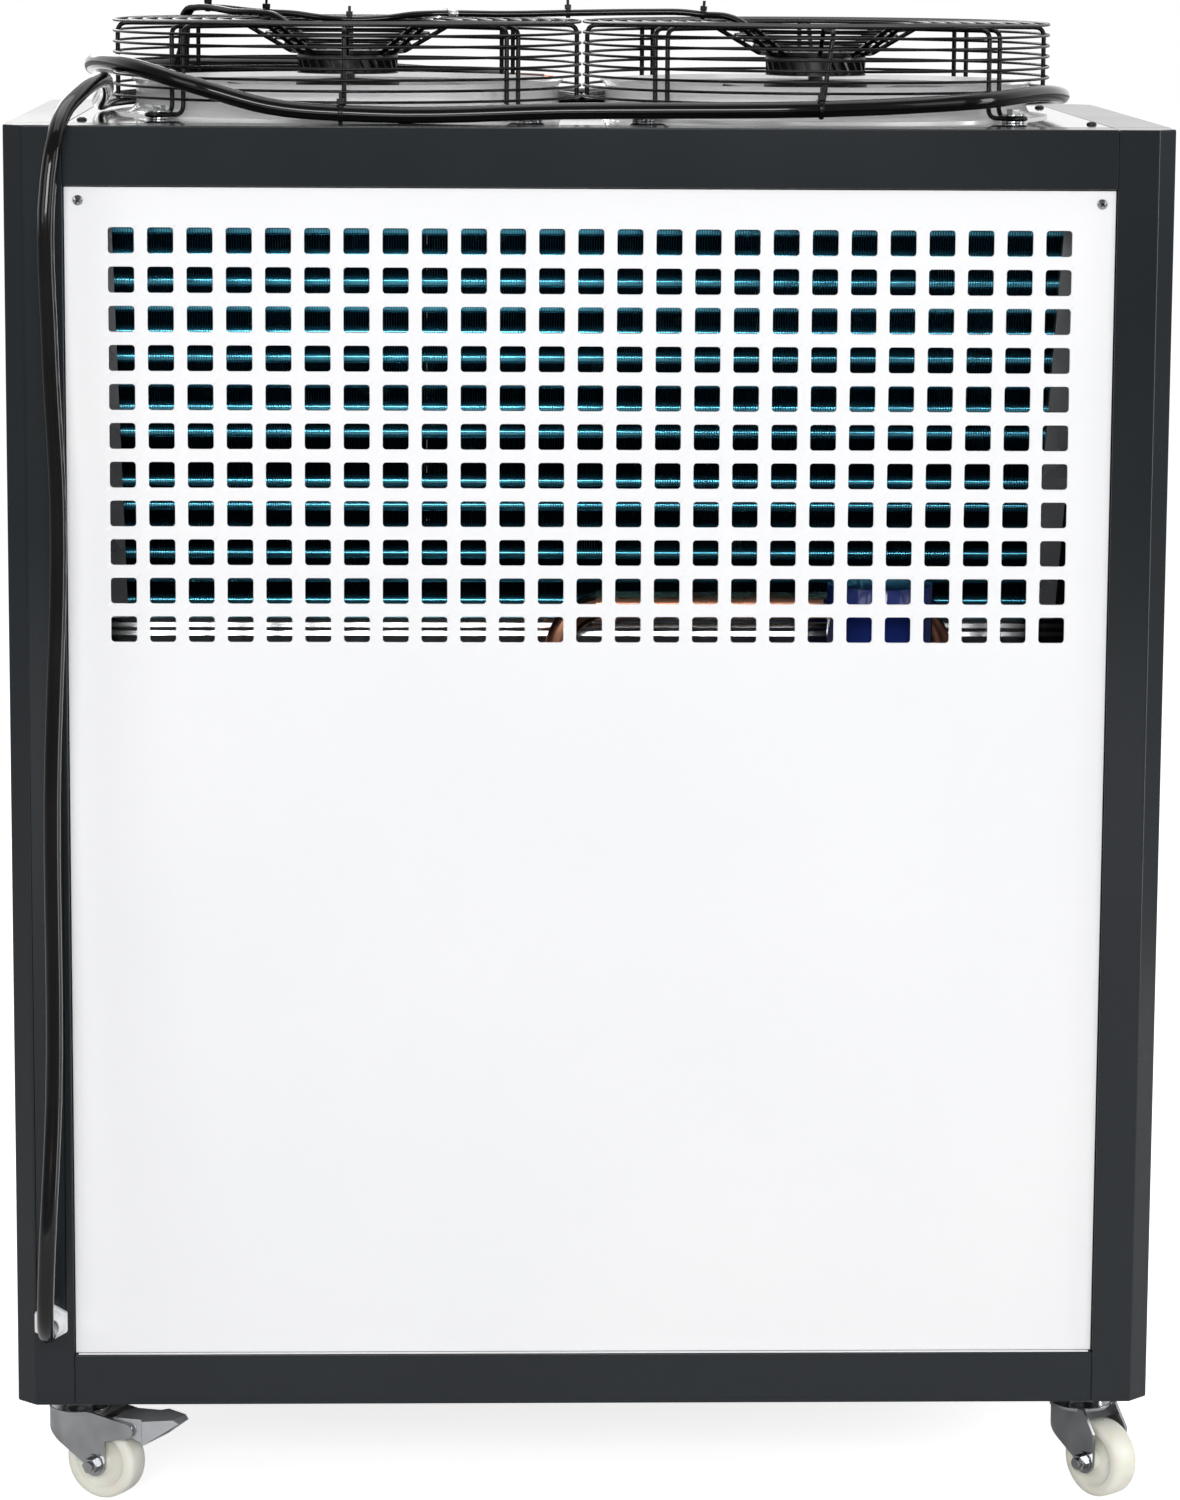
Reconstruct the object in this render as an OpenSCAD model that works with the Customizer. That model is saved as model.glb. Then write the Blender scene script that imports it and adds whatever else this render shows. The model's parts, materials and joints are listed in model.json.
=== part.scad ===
// Air cooled water chiller on castors: perforated cabinet, V shaped condenser, two guarded fans.
// Millimetres, +Z up, the photographed long side faces -Y, origin on the floor under the middle.

/* [Cabinet] */
// Overall width along X
body_w = 900; // [800:10:1200]
// Overall depth along Y
body_d = 540; // [500:10:700]
// Cabinet height without castors and fans
body_h = 1008; // [900:4:1300]
// Side of a corner post in plan
post_w = 46; // [40:1:60]
// Bevel on each outer corner
chamfer = 15; // [6:1:18]
// Folded sheet thickness
sheet = 2; // [1.5:0.5:3]
// Height of the top rails
top_band = 46; // [36:1:60]
// Height of the base rails
bottom_band = 41; // [36:1:60]
// Depth of the base rails
base_rail_d = 30; // [24:1:40]

/* [Panels] */
// Panel sheet thickness
panel_t = 1.5; // [1:0.5:2.5]
// Gap round each panel
panel_gap = 1; // [0.5:0.5:2]
// Panel face behind the frame face
panel_inset = 4; // [2:0.5:6]
// Width of the stop behind each panel edge
stop_w = 14; // [10:1:20]
// Side of one square hole
hole = 20; // [12:1:24]
// Pitch of the holes
hole_pitch = 30; // [26:1:36]
// Corner radius of a hole
hole_r = 2.4; // [1:0.2:4]
// Plain margin from panel edge to first hole
hole_margin = 30.5; // [24:0.5:60]
// Rows of holes
hole_rows = 11; // [4:1:14]

/* [Fans] */
// Space between each guard and the side frame
fan_margin = 24.5; // [20:0.5:50]
// Least space between each guard and the long frame
fan_edge = 20; // [18:1:60]
// Space between the two guards
guard_space = 3; // [2:1:40]
// Step from the guard side in to the collar bore
collar_step = 19; // [17:1:40]
// Collar height above the top plate
collar_h = 28; // [18:1:32]
// Blade tip to collar clearance
tip_gap = 8; // [5:1:15]
// Blades on each rotor
blade_n = 5; // [4:1:7]
// Radius of the turning motor cup
rotor_r = 42; // [36:1:50]
// Gap between motor stator and turning cup
rotor_gap = 5; // [5:1:8]

/* [Guards] */
// Rings on the side of a guard
side_rings = 8; // [5:1:10]
// Pitch of the side rings
ring_pitch = 8.5; // [7:0.5:10]
// Height of the lowest side ring
ring_z0 = 15; // [12:1:20]
// Ring wire size
wire = 2.4; // [2:0.2:3]
// Leg and spoke wire size
leg_wire = 3.8; // [3:0.2:5]
// Distance between the two wires of a leg
leg_gap = 13; // [10:1:18]
// Outer radius of the dished centre
dish_r = 84; // [70:1:100]
// Depth of the dished centre
dish_depth = 22; // [12:1:28]
// Foot length outside the side rings
foot = 24; // [20:1:30]

/* [Castors] */
// Height from floor to cabinet
castor_h = 90; // [84:1:110]
// Wheel diameter
wheel_d = 62; // [50:1:66]
// Wheel width
wheel_w = 24; // [18:1:28]
// Offset of the axle behind the swivel axis
trail = 24; // [20:1:30]
// Swivel axis in from the end faces
castor_x = 46; // [44:1:60]
// Swivel axis in from the long faces
castor_y = 62; // [56:1:80]
// Heading of the front left castor
head_fl = -28; // [-180:1:180]
// Heading of the front right castor
head_fr = -52; // [-180:1:180]
// Heading of the rear left castor
head_rl = -104; // [-180:1:180]
// Heading of the rear right castor
head_rr = 160; // [-180:1:180]

/* [Cable] */
// Diameter of the supply cable
cable_d = 13; // [12:0.5:16]
// Gland height above the cabinet bottom
gland_z = 69; // [50:1:120]
// Gland in from the end face
gland_x = 28; // [25:1:32]

/* [Hidden] */
$fn = 64;

eps = 0.4;
z0 = castor_h;
z1 = castor_h + body_h;
half_w = body_w / 2;
half_d = body_d / 2;
opening_w = body_w - 2 * post_w;
opening_d = body_d - 2 * post_w;
opening_h = body_h - top_band - bottom_band;
panel_h = opening_h - 2 * panel_gap;
front_w = opening_w - 2 * panel_gap;
side_w = opening_d - 2 * panel_gap;
panel_z = z0 + bottom_band + panel_gap;
hole_cols = floor((front_w - 2 * hole_margin - hole) / hole_pitch) + 1;
guard_r = min((opening_w - 2 * fan_margin - guard_space) / 4, opening_d / 2 - fan_edge);
collar_r = guard_r - collar_step;
fan_x = guard_r + guard_space / 2;

frame_grey = [0.16, 0.18, 0.2];
panel_white = [0.93, 0.93, 0.94];
steel = [0.7, 0.71, 0.73];
black = [0.05, 0.05, 0.055];
coil_blue = [0.03, 0.2, 0.32];
copper = [0.72, 0.42, 0.3];
motor_blue = [0.1, 0.14, 0.42];
nylon = [0.88, 0.88, 0.8];

// Repeat for the four corners, each drawn for the corner at -X -Y
module corners() {
    for (sx = [0, 1], sy = [0, 1])
        mirror([sx, 0, 0])
            mirror([0, sy, 0])
                translate([-half_w, -half_d, 0])
                    children();
}

module both_fans() {
    for (s = [-1, 1])
        translate([s * fan_x, 0, z1])
            children();
}

// Bar of square section along +X from the origin
module bar(length, size) {
    translate([0, -size / 2, -size / 2])
        cube([length, size, size]);
}

// Closed box rail along X, outer face on y = 0
module box_rail(length, depth, height) {
    translate([-length / 2, 0, 0])
        difference() {
            cube([length, depth, height]);
            translate([-1, sheet, sheet])
                cube([length + 2, depth - 2 * sheet, height - 2 * sheet]);
        }
}

post_inner = chamfer + sheet * (sqrt(2) - 1);
stop_y = panel_inset + panel_t;

module post_outline() {
    polygon([[chamfer, 0], [post_w, 0], [post_w, post_w], [0, post_w], [0, chamfer]]);
}

// Stops that back the edges of the two panels beside the post
module post_stops() {
    translate([post_w - sheet / 2, stop_y])
        square([stop_w + sheet / 2, sheet]);
    translate([stop_y, post_w - sheet / 2])
        square([sheet, stop_w + sheet / 2]);
}

module post_bore() {
    polygon([
        [post_inner, sheet], [post_w - sheet, sheet], [post_w - sheet, post_w - sheet],
        [sheet, post_w - sheet], [sheet, post_inner],
    ]);
}

module post() {
    translate([0, 0, z0])
        linear_extrude(body_h - sheet)
            difference() {
                post_outline();
                post_bore();
            }
    translate([0, 0, z0 + bottom_band])
        linear_extrude(opening_h)
            post_stops();
    translate([0, 0, z1 - 2 * sheet])
        linear_extrude(2 * sheet)
            post_outline();
}

gland_bore = 10.2;

module corner_posts() {
    color(frame_grey)
        difference() {
            corners() post();
            translate([-half_w + gland_x, -half_d - 1, z0 + gland_z])
                rotate([-90, 0, 0])
                    cylinder(r = gland_bore, h = sheet + 2);
        }
}

module base_rails() {
    color(frame_grey)
        for (s = [0, 1]) {
            mirror([0, s, 0])
                translate([0, -half_d, z0])
                    box_rail(opening_w, base_rail_d, bottom_band);
            mirror([s, 0, 0])
                translate([-half_w, 0, z0])
                    rotate([0, 0, -90])
                        box_rail(opening_d, base_rail_d, bottom_band);
        }
}

plate_t = sheet + 1;

module base_plate() {
    px = half_w - base_rail_d;
    py = half_d - base_rail_d;
    cx = half_w - post_w;
    cy = half_d - post_w;
    color(frame_grey)
        translate([0, 0, z0])
            linear_extrude(plate_t)
                polygon([
                    [-cx, -py], [cx, -py], [cx, -cy], [px, -cy], [px, cy], [cx, cy],
                    [cx, py], [-cx, py], [-cx, cy], [-px, cy], [-px, -cy], [-cx, -cy],
                ]);
}

ledge = 12;
seam = 1;

// Top rail with the ledge that carries the top plate
module top_rail(length) {
    box_rail(length, post_w, top_band);
    translate([-length / 2 + seam, post_w - eps, top_band - 2 * sheet])
        cube([length - 2 * seam, ledge + eps, sheet]);
}

module top_rails() {
    color(frame_grey)
        for (s = [0, 1]) {
            mirror([0, s, 0])
                translate([0, -half_d, z1 - top_band])
                    top_rail(opening_w);
            mirror([s, 0, 0])
                translate([-half_w, 0, z1 - top_band])
                    rotate([0, 0, -90])
                        box_rail(opening_d - seam, post_w, top_band);
        }
}

collar_t = 1.6;
collar_out = collar_r + collar_t;

module top_plate() {
    w = opening_w - 2 * seam;
    d = opening_d - 2 * seam;
    color(frame_grey)
        translate([0, 0, z1 - sheet])
            linear_extrude(sheet)
                difference() {
                    translate([-w / 2, -d / 2])
                        square([w, d]);
                    for (s = [-1, 1])
                        translate([s * fan_x, 0])
                            circle(r = collar_out + eps, $fn = 128);
                }
}

// Corner points of one eased hole, two to a corner
function hole_points(r) = let (h = hole / 2 - r)
    [for (q = [0:3], a = [0, 90])
        let (t = q * 90 + a, k = q * 90 + 45)
        [h * sqrt(2) * cos(k) + r * cos(t), h * sqrt(2) * sin(k) + r * sin(t)]];

// Sheet panel standing on z = 0, centred on x = 0, outer face on y = 0
module panel(width, rows) {
    span = (hole_cols - 1) * hole_pitch / 2;
    top = panel_h - hole_margin - hole / 2;
    translate([0, panel_t, 0])
        rotate([90, 0, 0])
            linear_extrude(panel_t)
                difference() {
                    translate([-width / 2, 0])
                        square([width, panel_h]);
                    if (rows > 0)
                        for (r = [0:rows - 1], c = [0:hole_cols - 1])
                            translate([c * hole_pitch - span, top - r * hole_pitch])
                                polygon(hole_points(hole_r));
                }
}

module front_panel() {
    color(panel_white)
        translate([0, -half_d + panel_inset, panel_z])
            panel(front_w, hole_rows);
}

module rear_panel() {
    color(panel_white)
        rotate([0, 0, 180])
            translate([0, -half_d + panel_inset, panel_z])
                panel(front_w, hole_rows);
}

module left_panel() {
    color(panel_white)
        translate([-half_w + panel_inset, 0, panel_z])
            rotate([0, 0, -90])
                panel(side_w, 0);
}

port_hex = 24;
port_r = 17.5;
port_bore = 15;
port_len = 30;
port_fit = 0.5;
port_z = z0 + 170;
port_dz = 90;
port_y = 110;
port_spots = [[port_y, port_z], [port_y, port_z + port_dz], [-port_y, port_z]];

module right_panel() {
    color(panel_white)
        difference() {
            translate([half_w - panel_inset, 0, panel_z])
                rotate([0, 0, 90])
                    panel(side_w, 0);
            for (p = port_spots)
                translate([half_w - panel_inset - panel_t - 1, p[0], p[1]])
                    rotate([0, 90, 0])
                        cylinder(r = port_r + port_fit, h = panel_t + 2);
        }
}

module water_ports() {
    color(steel)
        for (p = port_spots)
            translate([half_w - panel_inset, p[0], p[1]])
                rotate([0, 90, 0])
                    difference() {
                        union() {
                            cylinder(r = port_hex, h = panel_inset, $fn = 6);
                            translate([0, 0, -port_len])
                                cylinder(r = port_r, h = port_len + eps);
                        }
                        translate([0, 0, -port_len - 1])
                            cylinder(r = port_bore, h = port_len + panel_inset + 2);
                    }
}

// Condenser: two coils lean together into a V over a shared channel
coil_angle = 28;
coil_len = opening_w - 68;
coil_t = 38;
coil_pitch = 25;
coil_top = z1 - top_band - 8;
coil_y = half_d - 40;
coil_foot = 42;
coil_drop = (coil_y - coil_foot) / tan(coil_angle);
coil_h = floor(coil_drop / cos(coil_angle) / coil_pitch) * coil_pitch;
foot_y = coil_y - coil_h * sin(coil_angle);
channel_z = coil_top - coil_h * cos(coil_angle);
channel_w = 2 * foot_y + 6;
channel_h = 24;
end_t = 2;
end_flange = 20;

// Front coil space: x along the tubes, y through the coil, z up along the coil
module coil_place() {
    translate([0, -coil_y, coil_top])
        rotate([coil_angle, 0, 0])
            translate([0, 0, -coil_h])
                children();
}

module coil_core() {
    color(coil_blue)
        coil_place()
            translate([-coil_len / 2, 0, 0])
                cube([coil_len, coil_t, coil_h]);
}

module coil_front() {
    coil_core();
}

module coil_rear() {
    mirror([0, 1, 0]) coil_core();
}

module coil_end_plates() {
    color(steel)
        for (m = [0, 1], s = [0, 1])
            mirror([0, m, 0])
                mirror([s, 0, 0])
                    coil_place()
                        translate([coil_len / 2, 0, 0]) {
                            cube([end_t, coil_t, coil_h]);
                            cube([end_flange, end_t, coil_h]);
                        }
}

module coil_channel() {
    length = opening_w - 4;
    color(steel)
        translate([-length / 2, 0, channel_z - channel_h])
            difference() {
                translate([0, -channel_w / 2, 0])
                    cube([length, channel_w, channel_h]);
                translate([-1, -channel_w / 2 + sheet, -1])
                    cube([length + 2, channel_w - 2 * sheet, channel_h + 1 - sheet]);
            }
}

stand_z = z0 + plate_t;
stand_in = 24;

module coil_stands() {
    color(frame_grey)
        for (s = [-1, 1])
            translate([s * (opening_w / 2 - stand_in), 0, stand_z])
                translate([-sheet, -channel_w / 2 + sheet + 1, 0])
                    cube([2 * sheet, channel_w - 2 * sheet - 2, channel_z - sheet - stand_z]);
}

tank_w = 400;
tank_d = 360;
tank_h = 380;
tank_x = -(opening_w / 2 - 40 - tank_w / 2);

module water_tank() {
    color(steel)
        translate([tank_x - tank_w / 2, -tank_d / 2, stand_z])
            cube([tank_w, tank_d, tank_h]);
}

pipe_lift = 15;
pipe_out = 48;
pipe_z = channel_z + pipe_lift;
pipe_y = -foot_y - pipe_out;
pipe_r = 11;
pipe_bend = 40;
pipe_left = 20;
comp_in = 114;
pump_dx = 55;
pump_dy = 123;
pump_in = 105;
comp_x = opening_w / 2 - comp_in;
pump_x = comp_x - pump_dx;
pump_y = -half_d + pump_in;
comp_y = pump_y + pump_dy;
comp_r = 75;
comp_h = 300;
motor_r = 42;
motor_h = 210;
motor_lift = 43;
motor_top = channel_z + motor_lift;
band_h = 10;
band_drop = 24;

module compressor() {
    color(black)
        translate([comp_x, comp_y, stand_z]) {
            cylinder(r = comp_r + 6, h = 8);
            cylinder(r = comp_r, h = comp_h);
        }
}

module pump_base() {
    color(steel)
        translate([pump_x, pump_y, stand_z]) {
            cylinder(r = motor_r + 8, h = 12);
            cylinder(r = motor_r - 10, h = motor_top - motor_h - stand_z);
        }
}

module pump_motor() {
    color(motor_blue)
        translate([pump_x, pump_y, motor_top - motor_h]) {
            cylinder(r = motor_r, h = motor_h);
            translate([0, 0, motor_h - band_drop])
                cylinder(r = motor_r + 3, h = band_h);
        }
}

// Quarter bend from +X at the origin down to -Z
module elbow() {
    rotate([90, 0, 0])
        translate([0, -pipe_bend, 0])
            rotate_extrude(angle = 90)
                translate([pipe_bend, 0])
                    circle(r = pipe_r, $fn = 32);
}

// Soldered sleeve over a pipe joint at the origin, along Z
module sleeve() {
    translate([0, 0, -9])
        cylinder(r = pipe_r + 1.6, h = 18, $fn = 32);
}

// Straight run along Z that stops short of the joints at both of its ends
module run(length, low, high) {
    translate([0, 0, low])
        cylinder(r = pipe_r, h = length - low - high, $fn = 32);
}

module copper_pipe() {
    right = comp_x - pipe_bend;
    left = pipe_left;
    drop_r = pipe_z - pipe_bend - stand_z - comp_h;
    drop_l = pipe_z - pipe_bend - stand_z - tank_h;
    color(copper)
        translate([0, pipe_y, pipe_z]) {
            translate([left, 0, 0])
                rotate([0, 90, 0]) {
                    run(right - left, 2, 2);
                    sleeve();
                    translate([0, 0, right - left])
                        sleeve();
                }
            translate([right, 0, 0])
                elbow();
            translate([left, 0, 0])
                mirror([1, 0, 0])
                    elbow();
            translate([right + pipe_bend, 0, -pipe_bend - drop_r]) {
                run(drop_r, 0, 2);
                translate([0, 0, drop_r])
                    sleeve();
            }
            translate([left - pipe_bend, 0, -pipe_bend - drop_l]) {
                run(drop_l, 0, 2);
                translate([0, 0, drop_l])
                    sleeve();
            }
        }
}

// Fan: collar on the top plate, guard over it, motor hung from the guard, blades below
ring_top = ring_z0 + (side_rings - 1) * ring_pitch;
wire_step = (wire + leg_wire) / 2 - eps;
guard_top = ring_top - wire_step;
leg_r = guard_r - wire_step;
disc_r = rotor_r + 4;
disc_t = 3;
stub = 4;
disc_z = guard_top - dish_depth;
stator_h = 16;
stator_z = disc_z - disc_t / 2 - stator_h;
cup_top = stator_z - rotor_gap;
cup_h = 46;

spigot = 14;
flare = 9;
lip = 4;

// Points of an arc about c, in six steps
function arc(c, r, from, to) = [for (i = [0:6])
    let (a = from + (to - from) * i / 6)
    c + r * [cos(a), sin(a)]];

// Inlet collar: flange on the top plate, bell flare, wall and rolled lip
module collars() {
    color(steel)
        both_fans()
            rotate_extrude($fn = 128)
                polygon(concat(
                    [[collar_r, -spigot], [collar_out, -spigot], [collar_out, 0]],
                    [[guard_r, 0], [guard_r, collar_t]],
                    arc([collar_out + flare, collar_t + flare], flare, 270, 180),
                    [[collar_out, collar_h - lip], [collar_out + lip, collar_h]],
                    [[collar_r + lip, collar_h], [collar_r, collar_h - lip]]
                ));
}

module guard_ring(r, z) {
    translate([0, 0, z])
        rotate_extrude($fn = 96)
            translate([r - wire / 2, -wire / 2])
                square(wire);
}

slope = atan(dish_depth / (dish_r - disc_r));
slope_len = (dish_r - disc_r) / cos(slope);

// One wire from the leg bottom up over the corner and down into the dish
module leg(bottom, lean = 0) {
    height = guard_top + leg_wire / 2 - bottom;
    translate([leg_r - leg_wire / 2, 0, guard_top + leg_wire / 2])
        rotate([lean, 0, 0])
            translate([0, -leg_wire / 2, -height])
                cube([leg_wire, leg_wire, height]);
    translate([dish_r - eps, 0, guard_top])
        bar(leg_r - dish_r + eps, leg_wire);
    translate([disc_r - stub / 2, 0, disc_z])
        cube([stub, leg_wire, leg_wire], center = true);
    translate([disc_r, 0, disc_z])
        rotate([0, -slope, 0])
            translate([-2, 0, 0])
                bar(slope_len + 3, leg_wire);
}

// Two wires joined by a round foot that stands on the collar flange
module double_leg() {
    for (s = [-1, 1])
        translate([0, s * leg_gap / 2, 0]) {
            leg(collar_t);
            translate([leg_r, 0, collar_t + leg_wire / 2])
                bar(foot, leg_wire);
        }
    translate([leg_r + foot - eps, 0, collar_t])
        rotate([0, 0, -90])
            rotate_extrude(angle = 180)
                translate([leg_gap / 2 - leg_wire / 2, 0])
                    square(leg_wire);
}

top_pitch = 12;
top_count = floor((guard_r - dish_r - top_pitch / 2) / top_pitch);
dish_count = 5;
bent_lean = -8;

module guard(side) {
    color(black)
        translate([side * fan_x, 0, z1]) {
            for (i = [0:side_rings - 1])
                guard_ring(guard_r, ring_z0 + i * ring_pitch);
            for (i = [1:top_count])
                guard_ring(guard_r - i * top_pitch, ring_top);
            for (i = [0:dish_count - 1])
                guard_ring(
                    disc_r + (i + 0.6) * (dish_r - disc_r) / dish_count,
                    disc_z + (i + 0.6) * dish_depth / dish_count + wire_step + 0.6
                );
            for (a = [45, 135, 225, 315])
                rotate([0, 0, a])
                    double_leg();
            for (a = [0, 90, 180, 270])
                rotate([0, 0, a])
                    leg(ring_z0 - 4, a == 270 && side > 0 ? bent_lean : 0);
            translate([0, 0, disc_z - disc_t / 2])
                cylinder(r = disc_r, h = disc_t);
        }
}

module guard_left() {
    guard(-1);
}

module guard_right() {
    guard(1);
}

bolt_r = 3;
bolt_hex = 5.6;
bolt_head = 4;
washer_t = 1.4;
washer_r = leg_gap / 2 + 2.5;
foot_top = collar_t + leg_wire;

// Bolt through each foot, with a spacer as thick as the flange and a washer
module guard_bolts() {
    color(steel)
        both_fans()
            for (a = [45, 135, 225, 315])
                rotate([0, 0, a])
                    translate([leg_r + foot - 4, 0, 0]) {
                        cylinder(r = washer_r, h = collar_t);
                        cylinder(r = bolt_r, h = foot_top + eps);
                        translate([0, 0, foot_top]) {
                            cylinder(r = washer_r, h = washer_t);
                            cylinder(r = bolt_hex, h = washer_t + bolt_head, $fn = 6);
                        }
                    }
}

module stators() {
    color(black)
        both_fans() {
            translate([0, 0, stator_z])
                cylinder(r = rotor_r - 1, h = stator_h);
            translate([0, 0, stator_z - rotor_gap - 4])
                cylinder(r = 6, h = rotor_gap + 4 + eps);
        }
}

blade_tip = collar_r - tip_gap;
blade_t = 2.4;
blade_arch = 260;
blade_pitch = 38;
blade_lift = 4;
turn_left = 36;
turn_right = 20;
blade_mid = cup_top - cup_h / 2;

// Sickle outline of one blade seen from above
module blade_outline() {
    intersection() {
        circle(r = blade_tip, $fn = 128);
        polygon([
            [rotor_r - 4, -26], [80, -40], [blade_tip * 0.78, -44], [blade_tip + 10, -44],
            [blade_tip + 10, 40], [blade_tip * 0.86, 62], [blade_tip * 0.65, 66],
            [blade_tip * 0.43, 44], [rotor_r + 8, 18], [rotor_r - 4, 14],
        ]);
    }
}

// Arched and pitched sheet cut to the outline
module blade() {
    intersection() {
        translate([0, 0, -45])
            linear_extrude(90)
                blade_outline();
        translate([rotor_r - 6, 0, blade_lift])
            rotate([blade_pitch, 0, 0])
                translate([0, 0, -blade_arch])
                    rotate([0, 90, 0])
                        difference() {
                            cylinder(r = blade_arch, h = blade_tip, $fn = 128);
                            translate([0, 0, -1])
                                cylinder(r = blade_arch - blade_t, h = blade_tip + 2, $fn = 128);
                            translate([0, -blade_arch - 1, -1])
                                cube([blade_arch + 1, 2 * blade_arch + 2, blade_tip + 2]);
                        }
    }
}

module rotor(side, turn) {
    color(black)
        translate([side * fan_x, 0, z1 + blade_mid]) {
            for (i = [0:blade_n - 1])
                rotate([0, 0, i * 360 / blade_n + turn])
                    blade();
            difference() {
                translate([0, 0, -cup_h / 2])
                    cylinder(r = rotor_r, h = cup_h);
                translate([0, 0, cup_h / 2 - 6])
                    cylinder(r = 6.5, h = 7);
            }
        }
}

module rotor_left() {
    rotor(-1, turn_left);
}

module rotor_right() {
    rotor(1, turn_right);
}

// Castors
mount_t = 3;
mount_l = 76;
mount_b = 64;
race_h = 7;
race_r = 24;
crown_h = 6;
swivel_gap = 1;
shell_t = 2.6;
axle_z = wheel_d / 2;
crown_top = castor_h - mount_t - race_h - swivel_gap - crown_h;
side_gap = 5;
fork_w = wheel_w + 2 * side_gap;
fork_r = fork_w / 2 + shell_t;
shell_x = -6;
brow_x = 22;
axle_r = 4;
axle_fit = 0.5;
boss_r = 8;
eye_r = 10;
pin_r = 6;
swivel_x = half_w - castor_x;
swivel_y = half_d - castor_y;
castor_spots = [
    [-swivel_x, -swivel_y, head_fl], [swivel_x, -swivel_y, head_fr],
    [-swivel_x, swivel_y, head_rl], [swivel_x, swivel_y, head_rr],
];

module castor(i) {
    translate([castor_spots[i][0], castor_spots[i][1], 0])
        rotate([0, 0, castor_spots[i][2]])
            children();
}

module castor_plates() {
    color(steel)
        for (s = castor_spots)
            translate([s[0], s[1], castor_h - mount_t])
                difference() {
                    union() {
                        translate([-mount_l / 2, -mount_b / 2, 0])
                            cube([mount_l, mount_b, mount_t]);
                        rotate_extrude()
                            polygon([
                                [0, -race_h], [race_r - 2, -race_h], [race_r, -race_h + 2],
                                [race_r, -2], [race_r + 3, 0], [race_r + 3, eps], [0, eps],
                            ]);
                    }
                    translate([0, 0, -race_h - 1])
                        cylinder(r = pin_r + axle_fit, h = race_h + 0.5);
                }
}

pedal_x = trail + 30;
pedal_z = crown_top - 11;
ear_r = 6;

// Fork outline seen from the side, x along the trail, y up
module cheek(braked) {
    back = shell_x - fork_r - 1;
    front = trail + eye_r;
    polygon([
        [back, crown_top], [brow_x, crown_top], [front, axle_z + 24], [front, axle_z],
        [trail - eye_r, axle_z], [back, crown_top - 16],
    ]);
    translate([trail, axle_z])
        circle(r = eye_r);
    if (braked) {
        translate([pedal_x, pedal_z])
            circle(r = ear_r);
        polygon([
            [brow_x, crown_top], [pedal_x, pedal_z + ear_r], [pedal_x, pedal_z - ear_r],
            [front, axle_z + 20], [brow_x, pedal_z],
        ]);
    }
}

// Fork seen from above: round back, open front
module shell_plan(r, front) {
    translate([shell_x, 0])
        circle(r = r);
    translate([shell_x, -r])
        square([front - shell_x, 2 * r]);
}

nut_r = 6.6;
nut_h = 6;
head_h = 4;

module axle_bolt() {
    translate([trail, 0, axle_z])
        rotate([90, 0, 0]) {
            translate([0, 0, -fork_r - head_h])
                cylinder(r = axle_r, h = 2 * fork_r + 2 * head_h + nut_h);
            translate([0, 0, fork_r - eps])
                cylinder(r = boss_r, h = washer_t + eps);
            translate([0, 0, fork_r])
                cylinder(r = nut_r, h = washer_t + nut_h, $fn = 6);
            translate([0, 0, -fork_r - head_h])
                cylinder(r = nut_r, h = head_h + eps, $fn = 6);
        }
}

// Pressed fork: one shell bent round the back, crown plate and dome, kingpin and axle
module fork(braked) {
    reach = pedal_x + 2 * ear_r;
    low = axle_z - eye_r - 1;
    color(steel) {
        intersection() {
            translate([0, 0, low])
                linear_extrude(crown_top - low)
                    difference() {
                        shell_plan(fork_r, reach);
                        shell_plan(fork_w / 2, reach + 1);
                    }
            rotate([90, 0, 0])
                translate([0, 0, -fork_r - 1])
                    linear_extrude(2 * fork_r + 2)
                        cheek(braked);
        }
        translate([0, 0, crown_top - shell_t])
            linear_extrude(shell_t) {
                circle(r = race_r + 1);
                shell_plan(fork_r - eps, brow_x - 1);
            }
        translate([0, 0, crown_top - eps])
            cylinder(r1 = race_r, r2 = race_r - 3, h = crown_h + eps);
        translate([0, 0, crown_top - shell_t])
            cylinder(r = pin_r, h = shell_t + crown_h + swivel_gap + race_h - 1);
        axle_bolt();
    }
}

// Half of the wheel section, from the bore out to the middle of the tread
function wheel_half(r, w, boss) = [
    [axle_r + axle_fit, boss], [boss_r, boss], [boss_r + 1, w - 2.5], [r - 11, w - 2.5],
    [r - 9, w], [r - 4, w], [r - 1.2, w - 2.4], [r, w - 7],
];

module wheel() {
    half = wheel_half(wheel_d / 2, wheel_w / 2, fork_w / 2 - axle_fit);
    color(nylon)
        translate([trail, 0, axle_z])
            rotate([90, 0, 0])
                rotate_extrude($fn = 96)
                    polygon(concat(half, [for (i = [len(half) - 1:-1:0]) [half[i][0], -half[i][1]]]));
}

pedal_pin = 3.4;
tread_w = 21;
lever_tip = 42;
lever_back = 14;
lever_t = 2.4;

// Brake lever seen from above, its sides drawn in by the given amount
module lever_plan(inset, back) {
    neck = fork_w / 2 - 1.5 - inset;
    wide = tread_w - inset;
    polygon([
        [-back, -neck], [12, -neck], [16, -wide], [lever_tip, -8],
        [lever_tip, 8], [16, wide], [12, neck], [-back, neck],
    ]);
}

// Brake lever seen from the side, pin at the origin: top plate, nose turned under, flanges
module lever_side() {
    polygon([
        [-lever_back, 9], [lever_tip - 4, 12], [lever_tip, 9], [15, -10],
        [4, -6], [-6, -3], [-lever_back, 2],
    ]);
}

// Hollow under the top plate, open to the back and below
module lever_hollow() {
    polygon([[-40, 6.2], [lever_tip - 5, 9.2], [13.5, -7.9], [8, -30], [-40, -30]]);
}

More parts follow.
